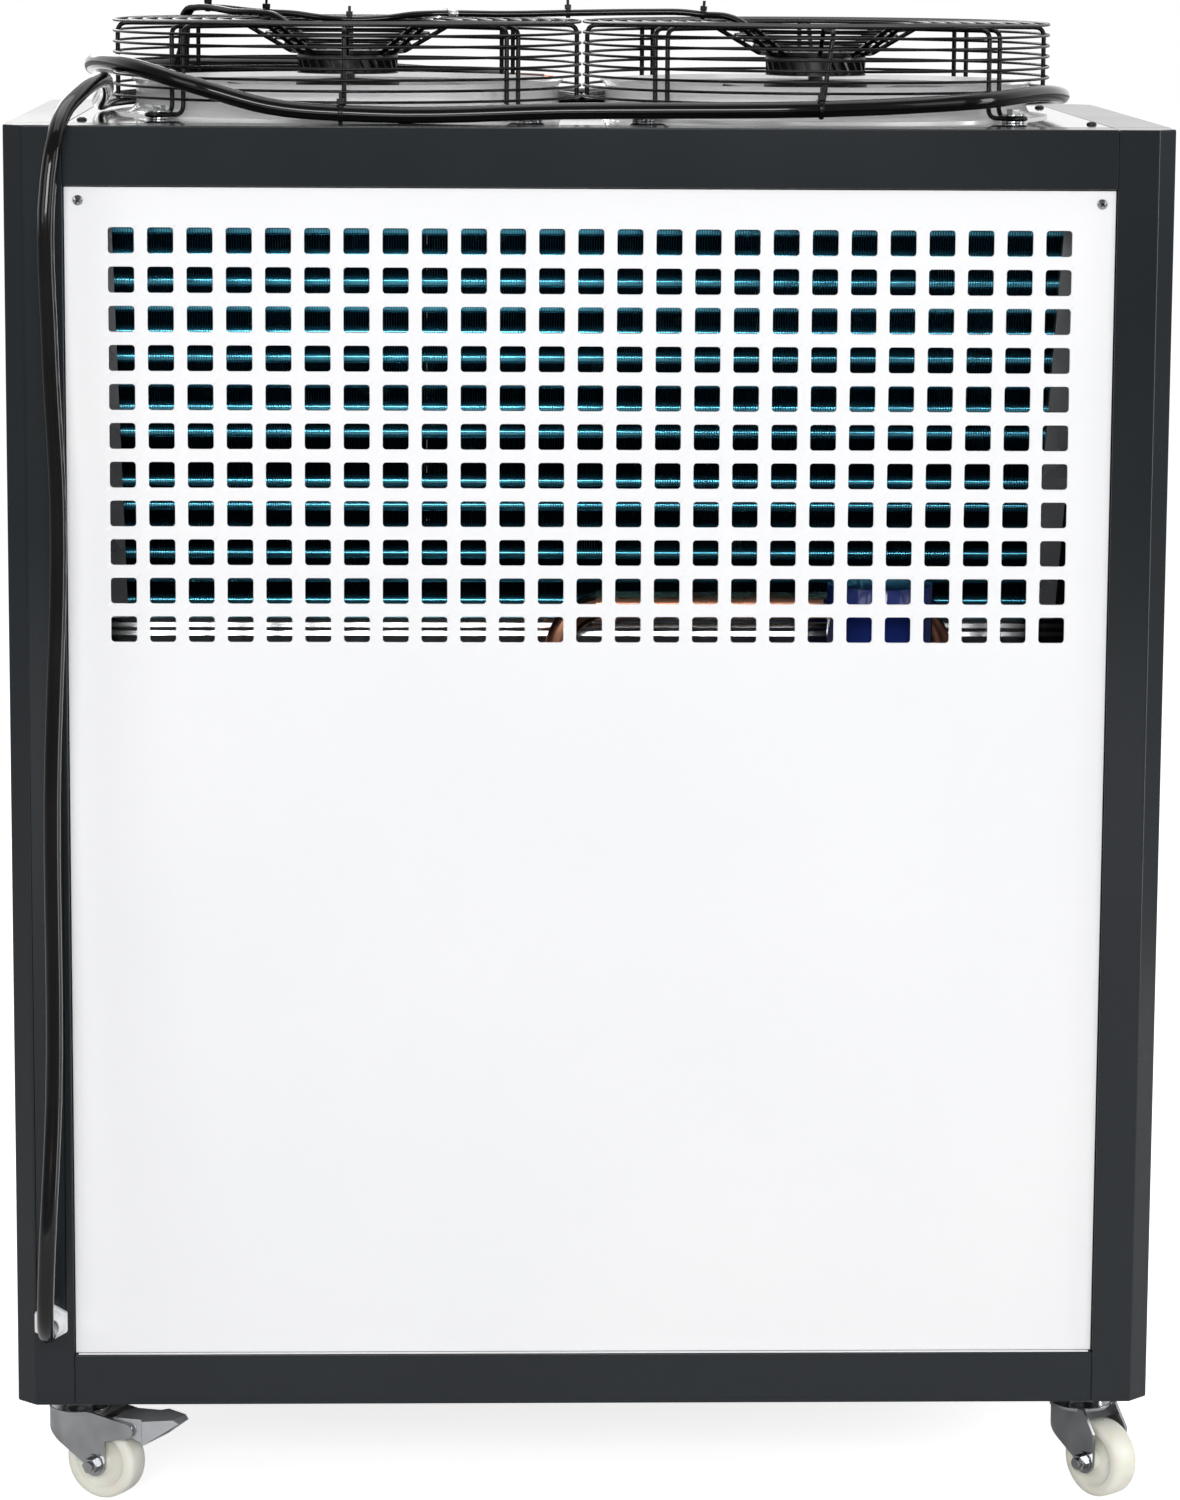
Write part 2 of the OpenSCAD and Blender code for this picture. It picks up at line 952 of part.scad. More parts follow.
// Brake lever: pressed tread with folded sides, hinged between the ears of its fork
module pedal() {
    color(steel)
        translate([pedal_x, 0, pedal_z]) {
            rotate([90, 0, 0])
                cylinder(r = pedal_pin, h = fork_w - 0.6, center = true, $fn = 32);
            difference() {
                intersection() {
                    rotate([90, 0, 0])
                        linear_extrude(2 * tread_w + 2, center = true)
                            lever_side();
                    linear_extrude(80, center = true)
                        lever_plan(0, lever_back);
                }
                intersection() {
                    rotate([90, 0, 0])
                        linear_extrude(2 * tread_w + 2, center = true)
                            lever_hollow();
                    linear_extrude(90, center = true)
                        lever_plan(lever_t, lever_back + 1);
                }
            }
        }
}

module fork_fl() {
    castor(0) fork(true);
}

module fork_fr() {
    castor(1) fork(false);
}

module fork_rl() {
    castor(2) fork(true);
}

module fork_rr() {
    castor(3) fork(false);
}

module wheel_fl() {
    castor(0) wheel();
}

module wheel_fr() {
    castor(1) wheel();
}

module wheel_rl() {
    castor(2) wheel();
}

module wheel_rr() {
    castor(3) wheel();
}

module pedal_fl() {
    castor(0) pedal();
}

module pedal_rl() {
    castor(2) pedal();
}

// Smooth tubes: a curve through route points, carried frames, one closed skin
function unit(v) = v / norm(v);
function slope_at(p, i) = i == 0 ? unit(p[1] - p[0]) :
    i == len(p) - 1 ? unit(p[i] - p[i - 1]) :
    let (u = p[i] - p[i - 1], v = p[i + 1] - p[i], lu = norm(u), lv = norm(v))
    (u * lv / lu + v * lu / lv) / (lu + lv);
function curve_at(p, i, t) = let (
        a = p[i], b = p[i + 1], l = norm(b - a), s = t * t, c = t * t * t
    )
    (2 * c - 3 * s + 1) * a + (3 * s - 2 * c) * b
        + l * ((c - 2 * s + t) * slope_at(p, i) + (c - s) * slope_at(p, i + 1));
function curve(p, steps) = concat(
    [for (i = [0:len(p) - 2], k = [0:steps - 1]) curve_at(p, i, k / steps)],
    [p[len(p) - 1]]
);
function heading(c, i) = unit(c[min(i + 1, len(c) - 1)] - c[max(i - 1, 0)]);
function carried(c, i, v) = let (t = heading(c, i)) unit(v - (v * t) * t);
function frames(c, i, v) = i >= len(c) ? [] :
    let (w = carried(c, i, v)) concat([w], frames(c, i + 1, w));

module tube(route, steps, r, sides) {
    c = curve(route, steps);
    n = len(c);
    side = frames(c, 0, [0.6, 0.3, 0.74]);
    points = [for (i = [0:n - 1], k = [0:sides - 1])
        let (t = heading(c, i), u = side[i], w = cross(t, u), a = k * 360 / sides)
        c[i] + r * (cos(a) * u + sin(a) * w)];
    skin = [for (i = [0:n - 2], k = [0:sides - 1])
        let (m = (k + 1) % sides)
        [i * sides + k, (i + 1) * sides + k, (i + 1) * sides + m, i * sides + m]];
    near = [[for (k = [0:sides - 1]) k]];
    far = [[for (k = [0:sides - 1]) n * sides - 1 - k]];
    polyhedron(points = points, faces = concat(skin, near, far), convexity = 10);
}

gland_len = 20;
gland_hex = 29.6;
nut_step = 3.6;
hex_len = 6;
nose_r = 8;
thread_len = 10;
cable_exit = [-half_w + gland_x, -half_d - gland_len, z0 + gland_z];
supply_route = [
    cable_exit, [-422, -304, 159], [-421.5, -325, 163], [-421, -344, 175], [-420, -356, 194],
    [-419, -360, 215], [-413, -341, 353], [-413, -322, 585], [-407, -310, 814], [-412, -306, 930],
    [-412, -303.5, 1057], [-409, -298.5, 1080], [-406, -287, 1096], [-402, -269, 1108], [-393, -238, 1120],
    [-379, -160, 1129], [-380, -110, 1121], [-391, -10, 1106], [-386, 72, 1105.5], [-352, 162, 1105.5],
    [-280, 202, 1105], [0, 214, 1105], [280, 202, 1105], [352, 162, 1106], [386, 72, 1111],
    [390, -20, 1115], [362, -110, 1120], [300, -188, 1116], [220, -211, 1112], [-20, -210, 1108],
    [-170, -210, 1105], [-250, -210, 1111], [-308, -207, 1127], [-352, -176, 1139], [-379, -122, 1142.5],
    [-396, 0, 1134], [-379, 118, 1131], [-330, 184, 1130], [-230, 216, 1129], [-60, 214, 1120],
];

// Gland: thread through the post, hexagon, then a round nut that tapers to the cable
module cable_gland() {
    color(panel_white)
        translate([-half_w + gland_x, -half_d, z0 + gland_z])
            rotate([90, 0, 0])
                difference() {
                    union() {
                        translate([0, 0, -sheet - thread_len])
                            cylinder(r = gland_bore - 0.2, h = sheet + thread_len + eps);
                        rotate([0, 0, 30])
                            cylinder(d = gland_hex, h = hex_len, $fn = 6);
                        cylinder(r = gland_hex / 2 - nut_step, h = 2 * hex_len);
                        translate([0, 0, 2 * hex_len])
                            cylinder(r1 = gland_hex / 2 - nut_step, r2 = nose_r, h = gland_len - 2 * hex_len);
                    }
                    translate([0, 0, -sheet - thread_len - 1])
                        cylinder(d = cable_d + 0.2, h = gland_len + sheet + thread_len + 2);
                }
}

module power_cable() {
    color(black)
        tube(supply_route, 2, cable_d / 2, 10);
}

// One lead for each motor, up beside the rear left leg and over the guards
lead_r = 2.8;
lead_z = z1 + ring_top + wire / 2 + lead_r + 0.4;
lead_end = z1 + disc_z + disc_t / 2 + lead_r + 0.2;
drawn_r = 189;

// Route point measured from the axis of one fan, for guards drawn with that radius
function by_fan(side, x, y, z) = [side * fan_x + x * guard_r / drawn_r, y * guard_r / drawn_r, z];
left_lead = [
    by_fan(-1, -153, 119.5, z1 + eps), by_fan(-1, -153, 119.5, z1 + 50), by_fan(-1, -153.5, 120, z1 + 74),
    by_fan(-1, -148.5, 116, z1 + 83.5), by_fan(-1, -138.5, 108, z1 + 86),
    by_fan(-1, -121.5, 95, lead_z + 2), by_fan(-1, -94.5, 74, lead_z), by_fan(-1, -72.5, 57, lead_z),
    by_fan(-1, -61.5, 48, lead_z - 1.5), by_fan(-1, -48.5, 38, lead_end + 15.5),
    by_fan(-1, -38.5, 30, lead_end + 7.5), by_fan(-1, -31.5, 25, lead_end),
];
right_lead = [
    by_fan(-1, -149, 125, z1 + eps), by_fan(-1, -149, 125, z1 + 50), by_fan(-1, -149.5, 125.5, z1 + 74),
    by_fan(-1, -144.5, 122, z1 + 83.5), by_fan(-1, -134.5, 117, z1 + 86),
    by_fan(-1, -109.5, 108, lead_z + 2), by_fan(-1, -49.5, 90, lead_z), by_fan(-1, 40.5, 72, lead_z),
    by_fan(-1, 130.5, 60, lead_z), by_fan(1, -190.5, 54, lead_z + 1.5),
    by_fan(1, -134.5, 50, lead_z + 2.5), by_fan(1, -106.5, 47, lead_z + 2.5),
    by_fan(1, -86.5, 44, lead_z + 0.5), by_fan(1, -71.5, 40, lead_z - 0.4),
    by_fan(1, -60.5, 35, lead_end + 20.5), by_fan(1, -51.5, 30.5, lead_end + 14.5),
    by_fan(1, -43.5, 26.5, lead_end + 8.8), by_fan(1, -35.5, 22, lead_end),
];

module fan_leads() {
    color(black) {
        tube(left_lead, 4, lead_r, 8);
        tube(right_lead, 4, lead_r, 8);
    }
}

corner_posts();
base_rails();
base_plate();
top_rails();
top_plate();
front_panel();
rear_panel();
left_panel();
right_panel();
coil_front();
coil_rear();
coil_end_plates();
coil_channel();
coil_stands();
water_tank();
compressor();
pump_base();
pump_motor();
copper_pipe();
water_ports();
collars();
guard_left();
guard_right();
guard_bolts();
stators();
fan_leads();
rotor_left();
rotor_right();
castor_plates();
fork_fl();
fork_fr();
fork_rl();
fork_rr();
wheel_fl();
wheel_fr();
wheel_rl();
wheel_rr();
pedal_fl();
pedal_rl();
cable_gland();
power_cable();
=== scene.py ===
"""Looks of an air cooled water chiller: finishes, wires, fins, cable and castors on its frame."""

import json
import logging
import math
from dataclasses import dataclass, field
from enum import Enum
from typing import Callable, Iterable, Sequence

import bmesh
import bpy
from mathutils import Matrix, Vector


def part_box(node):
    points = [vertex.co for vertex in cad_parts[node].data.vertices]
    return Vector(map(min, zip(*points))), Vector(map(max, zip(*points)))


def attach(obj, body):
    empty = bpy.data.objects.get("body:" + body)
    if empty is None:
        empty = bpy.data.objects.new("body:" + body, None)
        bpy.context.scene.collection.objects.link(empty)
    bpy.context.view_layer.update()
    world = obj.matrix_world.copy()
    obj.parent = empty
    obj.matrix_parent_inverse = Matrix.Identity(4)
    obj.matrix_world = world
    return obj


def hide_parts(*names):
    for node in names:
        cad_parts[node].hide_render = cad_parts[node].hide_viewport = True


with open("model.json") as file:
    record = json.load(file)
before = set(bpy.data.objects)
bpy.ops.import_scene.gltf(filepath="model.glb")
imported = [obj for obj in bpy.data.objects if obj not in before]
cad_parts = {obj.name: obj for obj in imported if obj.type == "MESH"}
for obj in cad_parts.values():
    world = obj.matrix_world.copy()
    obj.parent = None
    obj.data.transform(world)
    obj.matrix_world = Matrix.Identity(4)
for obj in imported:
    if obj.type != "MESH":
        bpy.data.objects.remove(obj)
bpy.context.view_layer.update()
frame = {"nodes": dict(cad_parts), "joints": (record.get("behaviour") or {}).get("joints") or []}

LOG = logging.getLogger("chiller")
MM = 0.001
CABINET = "cabinet"
SAME_SPOT = 0.02  # points of a mesh nearer than this are one, in millimetres
SEAM_GAP = 0.01  # points nearer than this are welded before edges are eased
EDGE_ANGLE = 30.0  # edges that turn by more than this are eased, in degrees
BEND_SHARE = 0.48  # most of a straight wire that one bend may take
STEEP = 0.9  # a path that rises by more than this counts as upright
LEVEL_SIDE = (0.31, 0.52, 0.79)  # where the section of a level path starts
STEEP_SIDE = (0.9, 0.3, 0.1)  # and that of an upright one
SUBSURFACE_REACH = 4.0  # how far light goes into nylon, in millimetres
DUST_COLOUR = (0.55, 0.54, 0.52, 1.0)

Colour = tuple[float, float, float]
Point = tuple[float, float, float]
Flat = tuple[float, float]
Inputs = dict[str | int, object]


def node_box(name: str) -> tuple[Vector, Vector]:
    """Lowest and highest corner of a frame node, in millimetres."""
    low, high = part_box(name)
    return low / MM, high / MM


def joint(name: str) -> dict:
    """The frame's record of a joint."""
    return next(record for record in frame["joints"] if record["name"] == name)


def joint_point(name: str) -> Vector:
    """Place of a joint axis, in millimetres."""
    return Vector(joint(name)["pos_m"]) / MM


def standing(spot: Vector, ahead: Vector, axis: str = "Z", up: str = "Y") -> Matrix:
    """Local axes at a spot, with one of them along a direction.

    Args:
        spot: Where the axes stand.
        ahead: Direction of the named axis.
        axis: The axis that points ahead.
        up: The axis that is kept as upright as it can be.

    Returns:
        The matrix of the local axes.
    """
    return Matrix.Translation(spot) @ ahead.to_track_quat(axis, up).to_matrix().to_4x4()


def link(piece: bpy.types.Object) -> None:
    """Put an object in the scene."""
    bpy.context.scene.collection.objects.link(piece)


def turned(outline: Sequence[Flat], degrees: float) -> list[Flat]:
    """A flat outline turned about its origin.

    Args:
        outline: Points of the outline.
        degrees: Angle, counter clockwise.

    Returns:
        The turned points.
    """
    c, s = math.cos(math.radians(degrees)), math.sin(math.radians(degrees))
    return [(x * c - y * s, x * s + y * c) for x, y in outline]


def circle(count: int) -> list[Flat]:
    """Points of a unit circle."""
    turns = [2 * math.pi * k / count for k in range(count)]
    return [(math.cos(a), math.sin(a)) for a in turns]


def arc(centre: Flat, radius: float, start: float, end: float, steps: int) -> list[Flat]:
    """Points of a flat arc.

    Args:
        centre: Centre of the arc.
        radius: Radius.
        start: First angle in degrees.
        end: Last angle in degrees.
        steps: Number of segments.

    Returns:
        The points, ends included.
    """
    out = []
    for i in range(steps + 1):
        a = math.radians(start + (end - start) * i / steps)
        out.append((centre[0] + radius * math.cos(a), centre[1] + radius * math.sin(a)))
    return out


def smooth_route(points: Sequence[Point], steps: int) -> list[Vector]:
    """A smooth curve through given points, as the solids follow it.

    Args:
        points: Route points in millimetres.
        steps: Pieces for each stretch.

    Returns:
        Points along the curve.
    """
    p = [Vector(q) for q in points]
    last = len(p) - 1

    def slope(i: int) -> Vector:
        """Direction of the curve at one route point.

        Args:
            i: Number of the point.

        Returns:
            The slope there.
        """
        if i in (0, last):
            return (p[1] - p[0]).normalized() if i == 0 else (p[last] - p[last - 1]).normalized()
        u, v = p[i] - p[i - 1], p[i + 1] - p[i]
        lu, lv = u.length, v.length
        return (u * (lv / lu) + v * (lu / lv)) / (lu + lv)

    out = []
    for i in range(last):
        a, b = p[i], p[i + 1]
        reach = (b - a).length
        for k in range(steps):
            t = k / steps
            s, c = t * t, t * t * t
            out.append(
                (2 * c - 3 * s + 1) * a + (3 * s - 2 * c) * b
                + reach * ((c - 2 * s + t) * slope(i) + (c - s) * slope(i + 1))
            )
    out.append(p[last])
    return out


def along(line: Sequence[Flat], x: float) -> float:
    """Height of a broken line at a place.

    Args:
        line: Points of the line, in order.
        x: The place.

    Returns:
        The height there.
    """
    for (x0, y0), (x1, y1) in zip(line, line[1:]):
        if x <= x1:
            return y0 + (y1 - y0) * (x - x0) / (x1 - x0)
    return line[-1][1]


def belt(first: Point, second: Point, steps: int = 10) -> list[Flat]:
    """Loop of a band drawn tight round two circles.

    Args:
        first: Centre and radius of the larger circle.
        second: Centre and radius of the smaller circle.
        steps: Segments round the smaller circle.

    Returns:
        Points of the loop.
    """
    ax, ay, ar = first
    bx, by, br = second
    aim = math.degrees(math.atan2(by - ay, bx - ax))
    open_by = math.degrees(math.acos((ar - br) / math.hypot(bx - ax, by - ay)))
    low = arc((ax, ay), ar, aim + open_by, aim + 360 - open_by, 2 * steps)
    high = arc((bx, by), br, aim - open_by, aim + open_by, steps)
    return low + high


def rounded_path(points: Sequence[Point], radius: float, steps: int = 5) -> list[Vector]:
    """A polyline with each inner corner bent round, as wire is bent.

    Args:
        points: Corner points in millimetres.
        radius: Bend radius at the corners.
        steps: Segments in each bend.

    Returns:
        Points of the bent path.
    """
    p = [Vector(q) for q in points]
    out = [p[0]]
    for a, b, c in zip(p, p[1:], p[2:]):
        u, v = (a - b).normalized(), (c - b).normalized()
        half = u.angle(v) / 2
        room = BEND_SHARE * min((a - b).length, (c - b).length)
        reach = min(radius / math.tan(half), room)
        first, end = b + u * reach, b + v * reach
        for i in range(steps + 1):
            t = i / steps
            out.append((1 - t) ** 2 * first + 2 * t * (1 - t) * b + t * t * end)
    out.append(p[-1])
    return out


class MeshKit:
    """Gathers the shapes of one piece, in millimetres, and makes its object."""

    def __init__(self) -> None:
        """Start with no shapes."""
        self.verts: list[Vector] = []
        self.faces: list[tuple[int, ...]] = []
        self.marks: list[int] = []

    def add(self, verts: Iterable[Sequence[float]], faces: Iterable[Sequence[int]], mark: int = 0) -> None:
        """Append a shape.

        Args:
            verts: Its points.
            faces: Its faces, counted from its own first point.
            mark: Number of the material it takes.
        """
        base = len(self.verts)
        self.verts.extend(Vector(v) for v in verts)
        for face in faces:
            self.faces.append(tuple(base + i for i in face))
            self.marks.append(mark)

    def quad(self, *corners: Point) -> None:
        """One face with four corners."""
        self.add(corners, [(0, 1, 2, 3)])

    def wrap(self, rings: Sequence[Sequence[Vector]], closed: bool, mark: int) -> None:
        """Lay faces from ring to ring, and a cap at each end of an open row.

        Args:
            rings: Rings of points, all with the same number.
            closed: True where the last ring meets the first.
            mark: Number of the material it takes.
        """
        n, sides = len(rings), len(rings[0])
        faces: list[Sequence[int]] = []
        for i in range(n if closed else n - 1):
            a, b = i * sides, (i + 1) % n * sides
            for k in range(sides):
                m = (k + 1) % sides
                faces.append((a + k, a + m, b + m, b + k))
        if not closed:
            faces += [range(sides)[::-1], range((n - 1) * sides, n * sides)]
        self.add([point for ring in rings for point in ring], faces, mark)

    def tube(self, path: Sequence[Vector], radius: float, sides: int = 8, closed: bool = False,
             mark: int = 0, flat: float = 1.0) -> None:
        """Sweep a round or flattened section along a path.

        Args:
            path: Centre points.
            radius: Section radius.
            sides: Sides of the section.
            closed: True where the path is a loop.
            mark: Number of the material it takes.
            flat: Height of the section over its width.
        """
        n = len(path)
        pts = [Vector(q) for q in path]
        heads = []
        for i in range(n):
            a = pts[(i - 1) % n] if closed or i else pts[0]
            b = pts[(i + 1) % n] if closed or i < n - 1 else pts[-1]
            heads.append((b - a).normalized())
        side = Vector(LEVEL_SIDE if abs(heads[0].z) < STEEP else STEEP_SIDE)
        if flat != 1.0:
            side = Vector((1.0, 0.0, 0.0))
        rings = []
        for point, head in zip(pts, heads):
            side = (side - head * side.dot(head)).normalized()
            cross = head.cross(side)
            rings.append([point + radius * (x * side + flat * y * cross) for x, y in circle(sides)])
        self.wrap(rings, closed, mark)

    def ring(self, centre: Point, radius: float, wire: float, around: int = 96) -> None:
        """A level ring of round wire.

        Args:
            centre: Middle of the ring.
            radius: Radius at the middle of the wire.
            wire: Wire diameter.
            around: Segments round the ring.
        """
        path = [Vector(centre) + radius * Vector((x, y, 0)) for x, y in circle(around)]
        self.tube(path, wire / 2, closed=True)

    def lathe(self, profile: Sequence[Flat], place: Matrix, sides: int = 64, loop: bool = False,
              mark: int = 0) -> None:
        """Turn a profile of radius and height about the local Z axis.

        Args:
            profile: Points of radius and height.
            place: Where the axis stands.
            sides: Segments round the axis.
            loop: True where the profile closes on itself, as on a pipe wall.
            mark: Number of the material it takes.
        """
        rings = [[place @ Vector((r * x, r * y, h)) for x, y in circle(sides)] for r, h in profile]
        self.wrap(rings, loop, mark)

    def prism(self, outline: Sequence[Flat], low: float, high: float, place: Matrix, mark: int = 0) -> None:
        """Raise a flat outline along the local Z axis.

        Args:
            outline: Points of the outline, counter clockwise.
            low: Height of the bottom.
            high: Height of the top.
            place: Where the local axes stand.
            mark: Number of the material it takes.
        """
        rings = [[place @ Vector((x, y, z)) for x, y in outline] for z in (low, high)]
        self.wrap(rings, False, mark)

    def block(self, low: Point, high: Point, place: Matrix | None = None) -> None:
        """A box between two corners.

        Args:
            low: Lowest corner.
            high: Highest corner.
            place: Where the local axes stand.
        """
        outline = [(low[0], low[1]), (high[0], low[1]), (high[0], high[1]), (low[0], high[1])]
        self.prism(outline, low[2], high[2], place or Matrix.Identity(4))

    def make(self, name: str, finishes: Sequence["Finish"], body: str = CABINET,
             replaces: Sequence[str] = (), bevel: float = 0.0, crease: float = 38.0) -> bpy.types.Object:
        """Make the object, dress it and let it ride on its body.

        Args:
            name: Name of the piece.
            finishes: Its finishes, in the order of the marks.
            body: Body that carries it.
            replaces: Frame nodes that it stands for.
            bevel: Width of the eased edges in millimetres.
            crease: Angle above which an edge stays sharp.

        Returns:
            The new object.
        """
        mesh = bpy.data.meshes.new(name)
        mesh.from_pydata([v * MM for v in self.verts], [], self.faces)
        mesh.polygons.foreach_set("material_index", self.marks)
        tidy = bmesh.new()
        tidy.from_mesh(mesh)
        bmesh.ops.remove_doubles(tidy, verts=tidy.verts, dist=SAME_SPOT * MM)
        bmesh.ops.recalc_face_normals(tidy, faces=tidy.faces)
        tidy.to_mesh(mesh)
        tidy.free()
        mesh.polygons.foreach_set("use_smooth", [True] * len(mesh.polygons))
        mesh.set_sharp_from_angle(angle=math.radians(crease))
        for finish in finishes:
            mesh.materials.append(finish.material())
        piece = bpy.data.objects.new(name, mesh)
        link(piece)
        if bevel:
            ease_edges(piece, bevel)
        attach(piece, body)
        if replaces:
            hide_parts(*replaces)
        LOG.info("piece %s: %d faces on %s", name, len(mesh.polygons), body)
        return piece


def ease_edges(piece: bpy.types.Object, width: float) -> None:
    """Round the sharp edges of a piece a little, as pressed and painted sheet has them.

    Args:
        piece: The object.
        width: Width of the rounding in millimetres.
    """
    weld = piece.modifiers.new("Seam", "WELD")
    weld.merge_threshold = SEAM_GAP * MM
    ease = piece.modifiers.new("Eased", "BEVEL")
    ease.width = width * MM
    ease.segments = 2
    ease.limit_method = "ANGLE"
    ease.angle_limit = math.radians(EDGE_ANGLE)
    ease.harden_normals = True


class Grain(Enum):
    """Kinds of fine relief on a surface."""

    PEEL = "peel"
    BRUSHED = "brushed"
    SPANGLE = "spangle"
    SKIN = "skin"


class NodeWiring:
    """Short hand for placing and joining shader nodes."""

    def __init__(self, tree: bpy.types.NodeTree) -> None:
        """Work on one node tree."""
        self.tree = tree

    @classmethod
    def bare(cls, owner: bpy.types.ID) -> "NodeWiring":
        """Wiring of a material or world, cleared of its first nodes.

        Args:
            owner: The material or world.

        Returns:
            Its wiring.
        """
        owner.use_nodes = True
        owner.node_tree.nodes.clear()
        return cls(owner.node_tree)

    def node(self, kind: str, inputs: Inputs | None = None, **values: object) -> bpy.types.Node:
        """Place a node, set its plain properties and feed its inputs.

        Args:
            kind: Blender's node type.
            inputs: A socket or a plain value for each input, by its name or number.
            values: Properties of the node.

        Returns:
            The node.
        """
        made = self.tree.nodes.new(kind)
        for key, value in values.items():
            setattr(made, key, value)
        for key, value in (inputs or {}).items():
            if isinstance(value, bpy.types.NodeSocket):
                self.tree.links.new(value, made.inputs[key])
            else:
                made.inputs[key].default_value = value
        return made

    def maths(self, operation: str, a: object, b: object) -> bpy.types.NodeSocket:
        """A two value sum.

        Args:
            operation: Kind of sum.
            a: Socket or number.
            b: Socket or number.

        Returns:
            The result socket.
        """
        return self.node("ShaderNodeMath", {0: a, 1: b}, operation=operation).outputs[0]


class EffectShelf:
    """Shader groups that several finishes share, each built once."""

    groups: dict[str, bpy.types.NodeTree] = {}

    @classmethod
    def get(cls, name: str) -> bpy.types.NodeTree:
        """The group of that name, built on first use.

        Args:
            name: Name of the effect.

        Returns:
            The group.
        """
        if name not in cls.groups:
            cls.groups[name] = getattr(cls, "build_" + name)()
        return cls.groups[name]

    @staticmethod
    def start(name: str, inputs: dict[str, str], outputs: dict[str, str]
              ) -> tuple[NodeWiring, bpy.types.Node]:
        """Open a new group.

        Args:
            name: Name of the group.
            inputs: Names and kinds of its inputs.
            outputs: Names and kinds of its outputs.

        Returns:
            The group's wiring and its input node.
        """
        tree = bpy.data.node_groups.new("fx_" + name, "ShaderNodeTree")
        for way, sockets in (("INPUT", inputs), ("OUTPUT", outputs)):
            for label, kind in sockets.items():
                tree.interface.new_socket(name=label, in_out=way, socket_type="NodeSocket" + kind)
        wiring = NodeWiring(tree)
        return wiring, wiring.node("NodeGroupInput")

    @classmethod
    def start_relief(cls, name: str) -> tuple[NodeWiring, Inputs]:
        """Open a group that turns a scale into a height.

        Args:
            name: Name of the group.

        Returns:
            The group's wiring, and the place and scale that its textures take.
        """
        w, given = cls.start(name, {"Scale": "Float"}, {"Height": "Float"})
        place = w.node("ShaderNodeTexCoord").outputs["Object"]
        return w, {"Vector": place, "Scale": given.outputs["Scale"]}

    @staticmethod
    def close(w: NodeWiring, **results: bpy.types.NodeSocket) -> bpy.types.NodeTree:
        """Lead the results out of a group and hand it over."""
        w.node("NodeGroupOutput", results)
        return w.tree

    @classmethod
    def build_mottle(cls) -> bpy.types.NodeTree:
        """Slow drift of colour and gloss over a surface.

        Returns:
            The group.
        """
        w, given = cls.start(
            "mottle",
            {"Colour": "Color", "Tint": "Color", "Scale": "Float", "Low": "Float", "High": "Float"},
            {"Colour": "Color", "Roughness": "Float"},
        )
        take = given.outputs
        place = w.node("ShaderNodeTexCoord").outputs["Object"]
        noise = w.node("ShaderNodeTexNoise", {
            "Vector": place, "Scale": take["Scale"], "Detail": 2.0, "Roughness": 0.6,
        })
        spread = w.node("ShaderNodeMapRange", {
            "Value": noise.outputs["Fac"], "From Min": 0.3, "From Max": 0.7,
        }).outputs["Result"]
        mix = w.node("ShaderNodeMix", {0: spread, 6: take["Colour"], 7: take["Tint"]}, data_type="RGBA")
        gloss = w.node("ShaderNodeMix", {0: spread, 2: take["Low"], 3: take["High"]}, data_type="FLOAT")
        return cls.close(w, Colour=mix.outputs[2], Roughness=gloss.outputs[0])

    @classmethod
    def build_peel(cls) -> bpy.types.NodeTree:
        """Soft orange peel of baked powder.

        Returns:
            The group.
        """
        w, spot = cls.start_relief("peel")
        cells = w.node("ShaderNodeTexVoronoi", spot, feature="F1")
        noise = w.node("ShaderNodeTexNoise", {**spot, "Detail": 1.0})
        both = w.maths("ADD", cells.outputs["Distance"], noise.outputs["Fac"])
        return cls.close(w, Height=w.maths("MULTIPLY", both, 0.5))

    @classmethod
    def build_skin(cls) -> bpy.types.NodeTree:
        """Fine irregular skin of moulded rubber and nylon.

        Returns:
            The group.
        """
        w, spot = cls.start_relief("skin")
        noise = w.node("ShaderNodeTexNoise", {**spot, "Detail": 3.0, "Roughness": 0.7})
        return cls.close(w, Height=noise.outputs["Fac"])

    @classmethod
    def build_brushed(cls) -> bpy.types.NodeTree:
        """Long fine scratches from rolling and polishing.

        Returns:
            The group.
        """
        w, spot = cls.start_relief("brushed")
        stretch = w.node("ShaderNodeMapping", {"Vector": spot["Vector"], "Scale": (0.04, 1.0, 1.0)})
        spot["Vector"] = stretch.outputs["Vector"]
        noise = w.node("ShaderNodeTexNoise", {**spot, "Detail": 2.0})
        return cls.close(w, Height=noise.outputs["Fac"])

    @classmethod
    def build_spangle(cls) -> bpy.types.NodeTree:
        """Crystal flowers of hot dip zinc.

        Returns:
            The group.
        """
        w, spot = cls.start_relief("spangle")
        cells = w.node("ShaderNodeTexVoronoi", spot, feature="F1")
        grey = w.node("ShaderNodeRGBToBW", {"Color": cells.outputs["Color"]})
        return cls.close(w, Height=grey.outputs["Val"])

    @classmethod
    def build_dust(cls) -> bpy.types.NodeTree:
        """Thin settled dust on faces that look up.

        Returns:
            The group.
        """
        w, given = cls.start("dust", {"Amount": "Float"}, {"Mask": "Float"})
        look = w.node("ShaderNodeNewGeometry").outputs["Normal"]
        upward = w.node("ShaderNodeSeparateXYZ", {"Vector": look}).outputs["Z"]
        rising = w.node("ShaderNodeMapRange", {"Value": upward, "From Min": 0.4})
        place = w.node("ShaderNodeTexCoord").outputs["Object"]
        noise = w.node("ShaderNodeTexNoise", {"Vector": place, "Scale": 35.0, "Detail": 2.0})
        patchy = w.maths("MULTIPLY", rising.outputs["Result"], noise.outputs["Fac"])
        return cls.close(w, Mask=w.maths("MULTIPLY", patchy, given.outputs["Amount"]))


